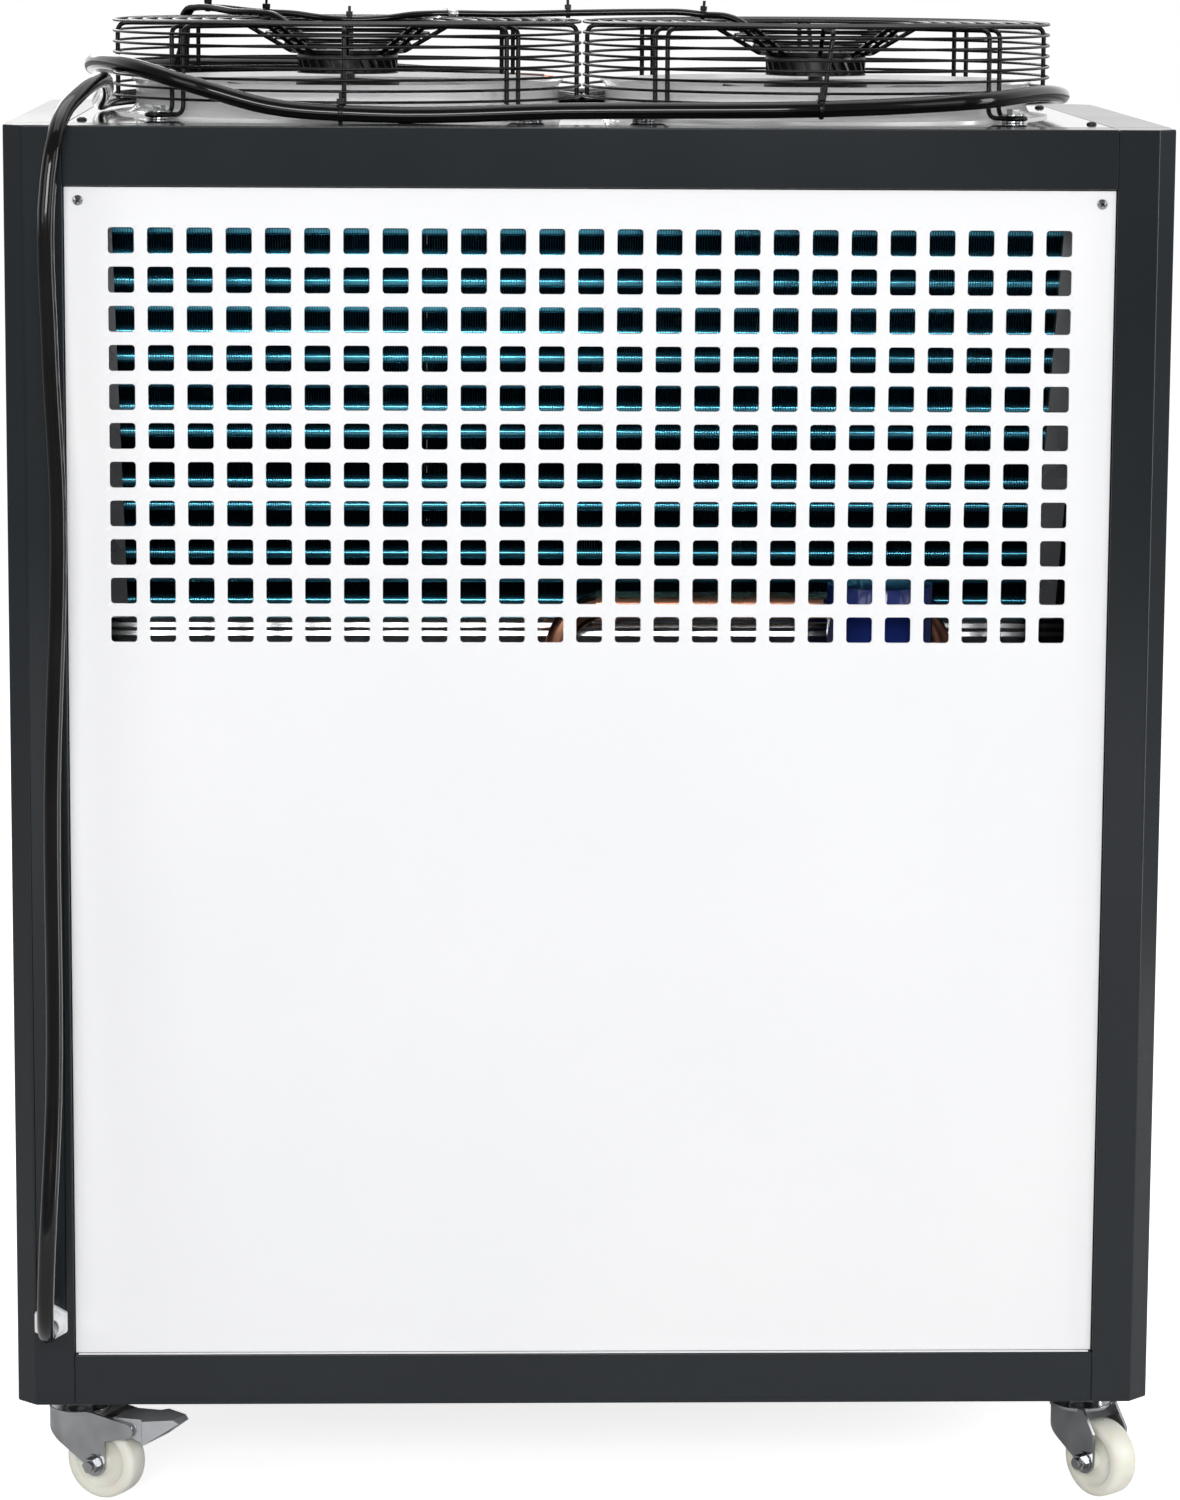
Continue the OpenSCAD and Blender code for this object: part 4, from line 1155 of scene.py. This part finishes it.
@dataclass
class Condenser:
    """Two leaning coils, thin fins on hairpin tubes, and the channel under them."""

    lean: float = 28.0
    depth: float = 38.0
    fin_pitch: float = 2.0
    fin_t: float = 0.22
    fin_gaps: Flat = (0.2, 0.5)
    wave: float = 1.7
    folds: tuple[float, ...] = (11.0, 20.0, 29.0)
    channel_t: float = 1.6
    channel_top: float = 3.0
    channel_corner: float = 2.0
    bead: float = 2.2
    bead_ramp: float = 0.6
    bead_tilt: float = 13.0
    bead_spans: tuple[Flat, ...] = ((7.8, 11.4), (14.7, 18.2))
    tube_r: float = 4.8
    bend_r: float = 4.2
    tube_low: float = 9.1
    tube_pitch: float = 23.64
    tube_rows: tuple[float, ...] = (9.0, 29.0)
    tube_past: float = 3.0

    def place(self, node: str) -> tuple[Matrix, float, float]:
        """Local axes of a coil: x along the tubes, y through it, z up along it.

        Args:
            node: Name of the coil's node.

        Returns:
            The axes, the half length and the height.
        """
        low, high = node_box(node)
        a = math.radians(self.lean)
        height = (high.z - low.z - self.depth * math.sin(a)) / math.cos(a)
        flip = 1 if low.y + high.y < 0 else -1
        face = low.y if flip > 0 else -high.y
        top = Vector((0, face, high.z - self.depth * math.sin(a)))
        axes = Matrix.Translation(top) @ Matrix.Rotation(a, 4, "X") @ Matrix.Translation((0, 0, -height))
        if flip < 0:
            axes = Matrix.Diagonal((1, -1, 1, 1)) @ axes
        return axes, (high.x - low.x) / 2, height

    def build(self) -> None:
        """Make both coils."""
        dress(["coil_end_plates"], Palette.galvanised, 0.4)
        self.channel()
        for node in ("coil_front", "coil_rear"):
            self.fins(node)
            self.tubes(node)

    def channel(self) -> None:
        """Rolled channel under the coils, with two flat beads along each side."""
        low, high = node_box("coil_channel")
        half, rise = (high.y - low.y) / 2 - self.bead, high.z - low.z
        corner, ramp, out = self.channel_corner, self.bead_ramp, half + self.bead
        side = [(half, 0.0), (half, corner)]
        for foot, head in self.bead_spans:
            back = (head - foot) * math.tan(math.radians(self.bead_tilt))
            side += [(half, foot - ramp), (out, foot), (out - back, head), (half, head + ramp)]
        side += [(half, rise - corner), (half - corner, rise)]
        outline = side + [(-y, z) for y, z in reversed(side)]
        wall, roof = half - self.channel_t, rise - self.channel_top
        inner = [(-wall, 0.0), (-wall, roof), (wall, roof), (wall, 0.0)]
        lengthwise = Matrix(((0, 0, 1, 0), (1, 0, 0, 0), (0, 1, 0, 0), (0, 0, 0, 1)))
        place = Matrix.Translation((low.x, 0, low.z)) @ lengthwise
        kit = MeshKit()
        kit.prism(outline + inner, 0.0, high.x - low.x, place)
        kit.make("channel_rolled", [Palette.stainless], replaces=["coil_channel"], crease=45)

    def fins(self, node: str) -> None:
        """Stack of fins, in place of the coil's block.

        Args:
            node: Name of the coil's node.
        """
        axes, half, height = self.place(node)
        kit = MeshKit()
        edge, end = self.fin_gaps
        count = int((2 * half - 2) / self.fin_pitch) + 1
        start = -(count - 1) * self.fin_pitch / 2
        bends = [(0.0, edge)] + [(self.wave * (k % 2), y) for k, y in enumerate(self.folds)]
        bends.append((self.wave, self.depth - edge))
        for i in range(count):
            x = start + i * self.fin_pitch - self.wave / 2
            outline = [(x + a + self.fin_t / 2, y) for a, y in bends]
            outline += [(x + a - self.fin_t / 2, y) for a, y in reversed(bends)]
            kit.prism(outline, end, height - end, axes)
        kit.make(node + "_fins", [Palette.fin_blue_painted_shade], replaces=[node])

    def tubes(self, node: str) -> None:
        """Straight tubes and the bends that join them at the ends.

        Args:
            node: Name of the coil's node.
        """
        axes, half, height = self.place(node)
        kit = MeshKit()
        past = half + self.tube_past
        for row, y in enumerate(self.tube_rows):
            shift = self.tube_low + row * self.tube_pitch / 2
            count = int((height - shift) / self.tube_pitch)
            for i in range(count):
                z = shift + i * self.tube_pitch
                kit.tube([axes @ Vector((-past, y, z)), axes @ Vector((past, y, z))], self.tube_r, 14)
                if i + 1 < count:
                    side = -1 if i % 2 else 1
                    self.bend(kit, axes, side * past, y, z, side)
        kit.make(node + "_tubes", [Palette.tube_blue_painted_highlight])

    def bend(self, kit: MeshKit, axes: Matrix, x: float, y: float, z: float, side: int) -> None:
        """A half round bend from one tube to the next above it.

        Args:
            kit: Piece that takes the bend.
            axes: Local axes of the coil.
            x: Where the tubes end.
            y: Depth of the row.
            z: Height of the lower tube.
            side: Which end of the coil, minus one or one.
        """
        path = []
        radius = self.tube_pitch / 2
        for dx, dz in arc((0, radius), radius, -90, 90, 10):
            path.append(axes @ Vector((x + side * dx, y, z + dz)))
        kit.tube(path, self.bend_r, 10)


@dataclass
class Machinery:
    """Tank, compressor, pump and copper pipe that show through the holes."""

    def build(self) -> None:
        """Dress the inner nodes."""
        dress(["water_tank", "pump_base"], Palette.stainless, 1.5)
        dress(["compressor"], Palette.black_enamel, 3.0)
        dress(["pump_motor"], Palette.blue_enamel, 1.5)
        dress(["copper_pipe"], Palette.copper)


@dataclass
class FanUnit:
    """One fan: its wire guard and, below it, the turning half with the blades."""

    side: str
    wire: float = 2.4
    leg_wire: float = 3.8
    leg_gap: float = 13.0
    rings: int = 8
    ring_low: float = 15.0
    ring_pitch: float = 8.5
    top_pitch: float = 12.0
    dish_r: float = 84.0
    dish_depth: float = 22.0
    dish_rings: int = 5
    dish_start: float = 0.6
    dish_lift: float = 0.6
    disc_r: float = 46.0
    disc_hole: float = 8.0
    disc_lap: float = 6.0
    disc_t: float = 3.0
    weld: float = 0.4
    leg_past: float = 4.0
    foot: float = 24.0
    flange_t: float = 1.6
    bend: float = 8.0
    lean: float = 0.0
    turn: float = 36.0
    blades: int = 5
    blade_t: float = 2.4
    blade_mid: float = 4.3
    blade_pitch: float = 20.0
    camber: float = 520.0
    cup_r: float = 42.0
    cup_low: float = -18.7
    cup_high: float = 27.3
    shaft_r: float = 6.5
    rivet_r: float = 49.0
    rivet_sunk: float = 0.3
    rivet_spots: tuple[float, ...] = (-20.0, -4.0, 11.0)
    rivet: tuple[Flat, ...] = ((2.6, 0), (2.6, 0.9), (1.8, 1.6), (0.6, 1.9))
    trailing: tuple[Flat, ...] = ((38, -26), (80, -40), (126, -44), (162, -44))
    leading: tuple[Flat, ...] = ((38, 14), (50, 18), (70, 44), (105, 66), (139, 62), (162, 46))
    stations: tuple[float, ...] = (38, 44, 50, 60, 70, 88, 105, 122, 139, 150, 157, 162)

    def __post_init__(self) -> None:
        """Take the place and radius from the frame."""
        self.centre = joint_point("fan_" + self.side)
        low, high = node_box("guard_" + self.side)
        self.ring_r = (high.x - low.x) / 2 - self.wire / 2
        self.step = (self.wire + self.leg_wire) / 2 - self.weld
        self.leg_r = self.ring_r - self.step
        self.ring_top = self.ring_low + (self.rings - 1) * self.ring_pitch
        self.spoke_z = self.ring_top - self.step
        self.disc_z = self.spoke_z - self.dish_depth

    def build(self) -> None:
        """Make the guard and the turning half."""
        self.guard()
        self.rotor()

    def spoke(self) -> list[Flat]:
        """Radius and height along one wire, from the disc to the top of the leg.

        Returns:
            Points of radius and height.
        """
        return [
            (self.disc_r - self.disc_lap, self.disc_z), (self.disc_r, self.disc_z),
            (self.dish_r, self.spoke_z), (self.leg_r, self.spoke_z),
        ]

    def guard(self) -> None:
        """Rings, bent legs and the dished centre, all of round wire."""
        kit = MeshKit()
        c = self.centre
        for i in range(self.rings):
            kit.ring(c + Vector((0, 0, self.ring_low + i * self.ring_pitch)), self.ring_r, self.wire)
        count = int((self.ring_r - self.dish_r - self.top_pitch / 2) / self.top_pitch)
        for i in range(1, count + 1):
            kit.ring(c + Vector((0, 0, self.ring_top)), self.ring_r - i * self.top_pitch, self.wire)
        for i in range(self.dish_rings):
            t = (i + self.dish_start) / self.dish_rings
            r = self.disc_r + t * (self.dish_r - self.disc_r)
            z = self.disc_z + t * self.dish_depth + self.step + self.dish_lift
            kit.ring(c + Vector((0, 0, z)), r, self.wire, 64)
        for angle in (45, 135, 225, 315):
            self.double_leg(kit, angle)
        bottom = self.ring_low - self.leg_past
        for angle in (0, 90, 180, 270):
            drift = math.tan(math.radians(self.lean)) * (self.spoke_z - bottom) if angle == 270 else 0.0
            ends = [(r, 0, z) for r, z in self.spoke()] + [(self.leg_r, drift, bottom)]
            kit.tube(self.around(rounded_path(ends, self.bend), angle), self.leg_wire / 2, 10)
        t = self.disc_t / 2
        disc = [(self.disc_hole, -t), (self.disc_r, -t), (self.disc_r, t), (self.disc_hole, t)]
        kit.lathe(disc, Matrix.Translation(c + Vector((0, 0, self.disc_z))), 64, True)
        kit.make("guard_wires_" + self.side, [Palette.guard_wire], replaces=["guard_" + self.side],
                 crease=50)

    def axes(self, angle: float) -> Matrix:
        """Local axes at the fan's centre, turned about its shaft."""
        return Matrix.Translation(self.centre) @ Matrix.Rotation(math.radians(angle), 4, "Z")

    def around(self, path: Sequence[Vector], angle: float) -> list[Vector]:
        """Turn a path about the fan axis and set it in place."""
        turn = self.axes(angle)
        return [turn @ p for p in path]

    def double_leg(self, kit: MeshKit, angle: float) -> None:
        """One long wire: in from the disc, down, round the foot and back.

        Args:
            kit: Piece that takes the wire.
            angle: Place round the fan in degrees.
        """
        gap = self.leg_gap / 2
        foot_z = self.flange_t + self.leg_wire / 2
        half = self.spoke() + [(self.leg_r, foot_z), (self.leg_r + self.foot, foot_z)]
        out = rounded_path([(r, -gap, z) for r, z in half], self.bend)
        toe = self.leg_r + self.foot
        turn = [Vector((toe + x, y, foot_z)) for x, y in arc((0, 0), gap, -90, 90, 12)]
        back = [Vector((p.x, -p.y, p.z)) for p in reversed(out)]
        kit.tube(self.around(out[:-1] + turn + back[1:], angle), self.leg_wire / 2, 10)

    def rotor(self) -> None:
        """The turning half: cup, swept blades and their rivets, low in the collar."""
        kit = MeshKit()
        r, low, high, shaft = self.cup_r, self.cup_low, self.cup_high, self.shaft_r
        cup = [(r - 5, low), (r, low + 3), (r, -2.0), (r - 0.8, -1.2), (r - 0.8, 0.2), (r, 1.0)]
        cup += [(r, high - 2.5), (r - 2.5, high), (12.0, high), (11.0, high - 0.6)]
        cup += [(shaft, high - 0.6), (shaft, high - 6)]
        kit.lathe(cup, Matrix.Translation(self.centre), 72)
        for i in range(self.blades):
            self.blade(kit, self.turn + i * 360 / self.blades)
        kit.make("rotor_blades_" + self.side, [Palette.black_enamel], body="rotor_" + self.side,
                 replaces=["rotor_" + self.side], crease=35)

    def rise(self, s: float) -> float:
        """Height of the blade's middle layer over the fan's foot.

        Args:
            s: Place across the blade, from its middle line.

        Returns:
            The height in millimetres.
        """
        return self.blade_mid + s * math.tan(math.radians(self.blade_pitch)) - s * s / self.camber

    def blade(self, kit: MeshKit, angle: float, across: int = 8) -> None:
        """One swept blade with the rivets at its root.

        Args:
            kit: Piece that takes the blade.
            angle: Place round the fan in degrees.
            across: Strips from the trailing to the leading edge.
        """
        place = self.axes(angle)
        verts = []
        for half in (self.blade_t / 2, -self.blade_t / 2):
            for r in self.stations:
                first, last = along(self.trailing, r), along(self.leading, r)
                for k in range(across + 1):
                    s = first + (last - first) * k / across
                    verts.append(place @ Vector((r, s, self.rise(s) + half)))
        row, size = across + 1, (across + 1) * len(self.stations)
        faces = []
        for i in range(len(self.stations) - 1):
            for k in range(across):
                a, b = i * row + k, (i + 1) * row + k
                faces += [(a, b, b + 1, a + 1), (size + a, size + a + 1, size + b + 1, size + b)]
            for k in (0, across):
                a, b = i * row + k, (i + 1) * row + k
                faces.append((a, b, size + b, size + a))
        for i in (0, size - row):
            faces += [(i + k, i + k + 1, size + i + k + 1, size + i + k) for k in range(across)]
        kit.add(verts, faces)
        for s in self.rivet_spots:
            height = self.rise(s) + self.blade_t / 2 - self.rivet_sunk
            kit.lathe(self.rivet, place @ Matrix.Translation((self.rivet_r, s, height)), 14)


@dataclass
class Motors:
    """The still halves of both fan motors, ribbed and hung under the dishes."""

    radius: float = 41.0
    height: float = 16.0
    neck: float = 6.0
    groove: float = 4.5
    vanes: int = 26
    vane: Flat = (2.6, 0.9)
    vane_span: Flat = (2.2, 2.6)
    vane_in: float = 3.0
    vane_tilt: float = 28.0
    screw_circle: float = 30.0
    screw_seat: float = 3.0
    screw: tuple[Flat, ...] = ((4.2, 0), (4.2, 1.4), (3.2, 2.4), (1.0, 2.8))

    def build(self) -> None:
        """Make both motors as one piece."""
        kit = MeshKit()
        low, high = node_box("stators")
        for side in ("left", "right"):
            spot = joint_point("fan_" + side)
            self.body(kit, Vector((spot.x, spot.y, high.z)), high.z - low.z)
        kit.make("motor_bodies", [Palette.motor_enamel, Palette.zinc], replaces=["stators"], crease=32)

    def body(self, kit: MeshKit, top: Vector, reach: float) -> None:
        """One motor: stepped shell, slanted vanes, shaft and four screws.

        Args:
            kit: Piece that takes the motor.
            top: Middle of its upper face.
            reach: Length from the upper face to the end of the shaft.
        """
        r, h, inner = self.radius, self.height, self.radius - self.groove
        shell = [(r - 3, 0), (r, -1.0), (r, -3.0), (inner, -4.0), (inner, 1.5 - h), (r, 1.0 - h), (r, -h)]
        shell += [(self.neck, -h), (self.neck, -reach)]
        stand = Matrix.Translation(top)
        kit.lathe(shell, stand, 72)
        tilt = Matrix.Rotation(math.radians(self.vane_tilt), 4, "X")
        lean = Matrix.Translation((r - self.vane_in, 0, -h / 2 - 1)) @ tilt
        (x, y), (low, high) = self.vane, self.vane_span
        for i in range(self.vanes):
            turn = Matrix.Rotation(2 * math.pi * i / self.vanes, 4, "Z")
            kit.block((-x, -y, low - h / 2), (x, y, h / 2 - high), stand @ turn @ lean)
        for x, y in arc((0, 0), self.screw_circle, 45, 315, 3):
            spot = top + Vector((x, y, self.screw_seat))
            kit.lathe(self.screw, Matrix.Translation(spot), 18, mark=1)


@dataclass
class LeadLoom:
    """Motor leads over the guards, with their ties, the cable's straps and a blank foil tag."""

    diameter: float = 5.6
    top: float = 1098.0
    lift: float = 78.9
    floor_of_dish: float = 54.3
    over_guards: float = 60.0
    tie_spots: tuple[float, ...] = (-309.0, -259.0, -189.0, -9.0, 101.0)
    tie_half: float = 1.8
    tie_t: Flat = (0.05, 1.2)
    tie_head: tuple[Point, Point] = ((-2.6, -2.2, 0.4), (2.6, 2.2, 4.2))
    tie_tail: tuple[Point, Point] = ((-1.2, -0.5, 4.0), (1.2, 0.5, 8.5))
    strap_spots: tuple[float, ...] = (-193.0, 179.0)
    strap_half: float = 1.9
    strap_flat: float = 0.35
    strap_r: float = 7.4
    strap_front: float = -195.0
    strap_reach: float = 30.0
    strap_leg: Point = (-187.5, 15.0, 3.4)
    strap_seat: Flat = (-2.0, 9.0)
    strap_head: tuple[Point, Point] = ((-2.8, -3.0, -2.0), (2.8, 2.6, 2.2))
    strap_tail: tuple[Point, Point] = ((-1.2, -0.6, 2.0), (1.2, 0.6, 8.0))
    tag_x: float = -106.0
    tag_foot: Point = (-132.0, 61.0, 1163.5)
    tag_head: Point = (-107.0, 62.0, 1174.6)
    tag_lean: Point = (-0.3, 0.25, 1.0)
    tag_w: float = 8.0
    tag_t: float = 0.25
    tag_gap: float = 0.3
    tag_curl: float = 1.6
    tag_strips: int = 8

    def routes(self) -> dict[str, list[Point]]:
        """Route points of both leads, in millimetres.

        Returns:
            The points, by the fan that the lead serves.
        """
        z, up, end = self.top, self.top + self.lift, self.top + self.floor_of_dish
        left = [
            (-343.5, 119.5, z + 0.4), (-341, 122, z + 22), (-332.5, 131, z + 46), (-331, 134.5, z + 66),
            (-330.5, 134.5, z + 74), (-327, 131.5, z + 80), (-319, 122.5, z + 82), (-306, 107, z + 82),
            (-285, 78, up + 0.5), (-263, 57, up), (-252, 48, up - 1.5),
            (-239, 38, end + 15.5), (-229, 30, end + 7.5), (-222, 25, end),
        ]
        right = [
            (-339.5, 125, z + 0.4), (-337, 127.5, z + 22), (-328.5, 135.5, z + 46), (-327, 138.6, z + 66),
            (-326.5, 138.6, z + 74), (-323, 135.6, z + 80), (-315, 128, z + 82), (-300, 114, z + 82),
            (-270, 88, up + 0.8), (-253, 74, up), (-235, 67, up - 0.8), (-215, 61, up - 3.4),
            (-190, 57, up - 5.2), (-160, 58, up - 3.8), (-137, 61, up - 0.8), (-119, 63, up), (-60, 60, up),
            (0, 54, up + 1.5), (56, 50, up + 2.5), (84, 47, up + 2.5), (104, 44, up + 0.5),
            (119, 40, up - 0.4), (130, 35, end + 20.5), (139, 30.5, end + 14.5), (147, 26.5, end + 8.8),
            (155, 22, end),
        ]
        return {"left": left, "right": right}

    def build(self) -> None:
        """Lay the leads and fix their ties."""
        routes = self.routes()
        kit = MeshKit()
        for route in routes.values():
            kit.tube(smooth_route(route, 6), self.diameter / 2, 14)
        kit.make("motor_leads", [Palette.sheath], replaces=["fan_leads"], crease=60)
        path = smooth_route(routes["right"], 12)
        self.ties(path)
        self.straps()
        self.tag(path)

    def nearest(self, path: Sequence[Vector], x: float) -> tuple[Vector, Vector]:
        """Point and direction on the upper part of a path at a given x.

        Args:
            path: The lead's centreline.
            x: Place along the guards.

        Returns:
            The point and the unit direction.
        """
        floor = self.top + self.over_guards
        upper = [i for i in range(1, len(path) - 1) if path[i].z > floor]
        i = min(upper, key=lambda k: abs(path[k].x - x))
        return path[i], (path[i + 1] - path[i - 1]).normalized()

    def ties(self, path: Sequence[Vector]) -> None:
        """Nylon ties round the lead, heads up and tails cut short.

        Args:
            path: The lead's centreline.
        """
        kit = MeshKit()
        r, half = self.diameter / 2, self.tie_half
        inner, outer = (r + t for t in self.tie_t)
        for x in self.tie_spots:
            spot, ahead = self.nearest(path, x)
            band = [(inner, -half), (outer, -half), (outer, half), (inner, half)]
            kit.lathe(band, standing(spot, ahead), 20, True)
            over = standing(spot, ahead, "X", "Z") @ Matrix.Translation((0, 0, r))
            kit.block(*self.tie_head, over)
            kit.block(*self.tie_tail, over)
        kit.make("lead_ties", [Palette.guard_wire], bevel=0.4)

    def straps(self) -> None:
        """Ties that hold the supply cable to the front leg of each guard."""
        kit = MeshKit()
        route = smooth_route(SupplyCable().route, 12)
        leg_y, leg_z, leg_r = self.strap_leg
        high = self.top + self.strap_reach
        front = [p for p in route if p.y < self.strap_front and self.top < p.z < high]
        for x in self.strap_spots:
            spot = min(front, key=lambda p: abs(p.x - x))
            loop = belt((spot.y, spot.z, self.strap_r), (leg_y, self.top + leg_z, leg_r))
            band = [Vector((x, y, z)) for y, z in loop]
            kit.tube(band, self.strap_half, 8, True, flat=self.strap_flat)
            dy, dz = self.strap_seat
            place = Matrix.Translation((x, spot.y + dy, spot.z + dz))
            kit.block(*self.strap_head, place)
            kit.block(*self.strap_tail, place)
        kit.make("cable_straps", [Palette.guard_wire], bevel=0.3)

    def tag(self, path: Sequence[Vector]) -> None:
        """A blank foil flag: a loop round the lead and a strip that hangs from it.

        Args:
            path: The lead's centreline.
        """
        spot, ahead = self.nearest(path, self.tag_x)
        place = standing(spot, ahead, "X", "Z")
        kit = MeshKit()
        fold = arc((0, 0), self.diameter / 2 + self.tag_gap, -60, 240, 12)
        half, n = self.tag_w / 2, len(fold)
        loop = [place @ Vector((x, y, z)) for x in (-half, half) for y, z in fold]
        kit.add(loop, [(i, i + 1, n + i + 1, n + i) for i in range(n - 1)])
        foot, head = Vector(self.tag_foot), Vector(self.tag_head)
        lean = Vector(self.tag_lean).normalized() * self.tag_w
        strip = []
        for i in range(self.tag_strips + 1):
            t = i / self.tag_strips
            curl = Vector((0, -self.tag_curl * math.sin(math.pi * t), 0))
            low = foot.lerp(head, t) + curl
            strip += [low, low + lean + curl * 0.4]
        kit.add(strip, [(2 * i, 2 * i + 2, 2 * i + 3, 2 * i + 1) for i in range(self.tag_strips)])
        sheet = kit.make("foil_tag", [Palette.foil])
        thick = sheet.modifiers.new("Thickness", "SOLIDIFY")
        thick.thickness = self.tag_t * MM


@dataclass
class Castor:
    """One swivel castor: fork, plate bolts, wheel and, where it has one, the brake lever."""

    corner: str
    wheel_r: float = 31.0
    wheel_w: float = 24.0
    boss: float = 16.4
    tread: float = 5.5
    plate_t: float = 3.4
    bolt_x: float = 31.0
    bolt_y: float = 25.0
    bolt_r: float = 5.4
    bolt_span: Flat = (-3.4, -0.6)
    washer: tuple[Flat, ...] = ((7.0, 0.4), (7.0, -0.8), (4.0, -0.8))

    def build(self) -> None:
        """Dress the fork and turn the wheel."""
        dress(["fork_" + self.corner], Palette.zinc, 0.5)
        self.plate_bolts()
        if "pedal_" + self.corner in frame["nodes"]:
            dress(["pedal_" + self.corner], Palette.pedal_zinc_painted_light, 0.8)
        self.wheel()

    def plate_bolts(self) -> None:
        """Four hexagon bolts through the top plate of the castor."""
        swivel = joint_point("swivel_" + self.corner)
        plate = node_box("castor_plates")[1].z - self.plate_t
        kit = MeshKit()
        for sx in (-1, 1):
            for sy in (-1, 1):
                place = Matrix.Translation(
                    (swivel.x + sx * self.bolt_x, swivel.y + sy * self.bolt_y, plate))
                kit.lathe(self.washer, place, 24)
                head = turned(arc((0, 0), self.bolt_r, 0, 300, 5), 15 * sx)
                kit.prism(head, *self.bolt_span, place)
        kit.make("castor_bolts_" + self.corner, [Palette.black_enamel], bevel=0.25)

    def wheel(self) -> None:
        """Cast nylon wheel with rounded tread, web and hub boss."""
        r, w = self.wheel_r, self.wheel_w / 2
        half = [(4.6, self.boss), (7.4, self.boss), (8.0, self.boss - 0.6), (9.0, w - 2.6), (10.2, w - 3.2)]
        half += [(r - 11.5, w - 3.2), (r - 9.8, w - 1.6), (r - 9.0, w - 0.3), (r - 8.2, w)]
        half += arc((r - self.tread, w - self.tread), self.tread, 90, 20, 7)
        half += [(r - 0.08, w - 8.0), (r, 2.0)]
        profile = half + [(a, -b) for a, b in reversed(half)]
        axle = Vector(joint("roll_" + self.corner)["axis"]).normalized()
        kit = MeshKit()
        kit.lathe(profile, standing(joint_point("roll_" + self.corner), axle), 96, True)
        kit.make("wheel_cast_" + self.corner, [Palette.wheel_nylon], body="wheel_" + self.corner,
                 replaces=["wheel_" + self.corner], crease=50)


def main() -> None:
    """Build every sub-assembly in order."""
    logging.basicConfig(level=logging.INFO, format="%(name)s: %(message)s")
    steps: list[Callable[[], None]] = [
        Studio().build, SupplyCable().build, Cabinet().build,
        PerforatedPanel("front_panel").build, PerforatedPanel("rear_panel").build,
        Condenser().build, Machinery().build,
        FanUnit("left").build, FanUnit("right", lean=-8.0, turn=20.0).build,
        Motors().build, LeadLoom().build,
    ]
    steps += [Castor(corner).build for corner in ("fl", "fr", "rl", "rr")]
    for step in steps:
        step()
    # The collars take a near white colour that is painted reflection.
    dress(["collars"], Palette.collar_painted_reflection)
    dress(["guard_bolts", "castor_plates"], Palette.zinc, 0.3)
    dress(["cable_gland"], Palette.gland_nylon, 0.5)


if __name__ == "__main__":
    main()
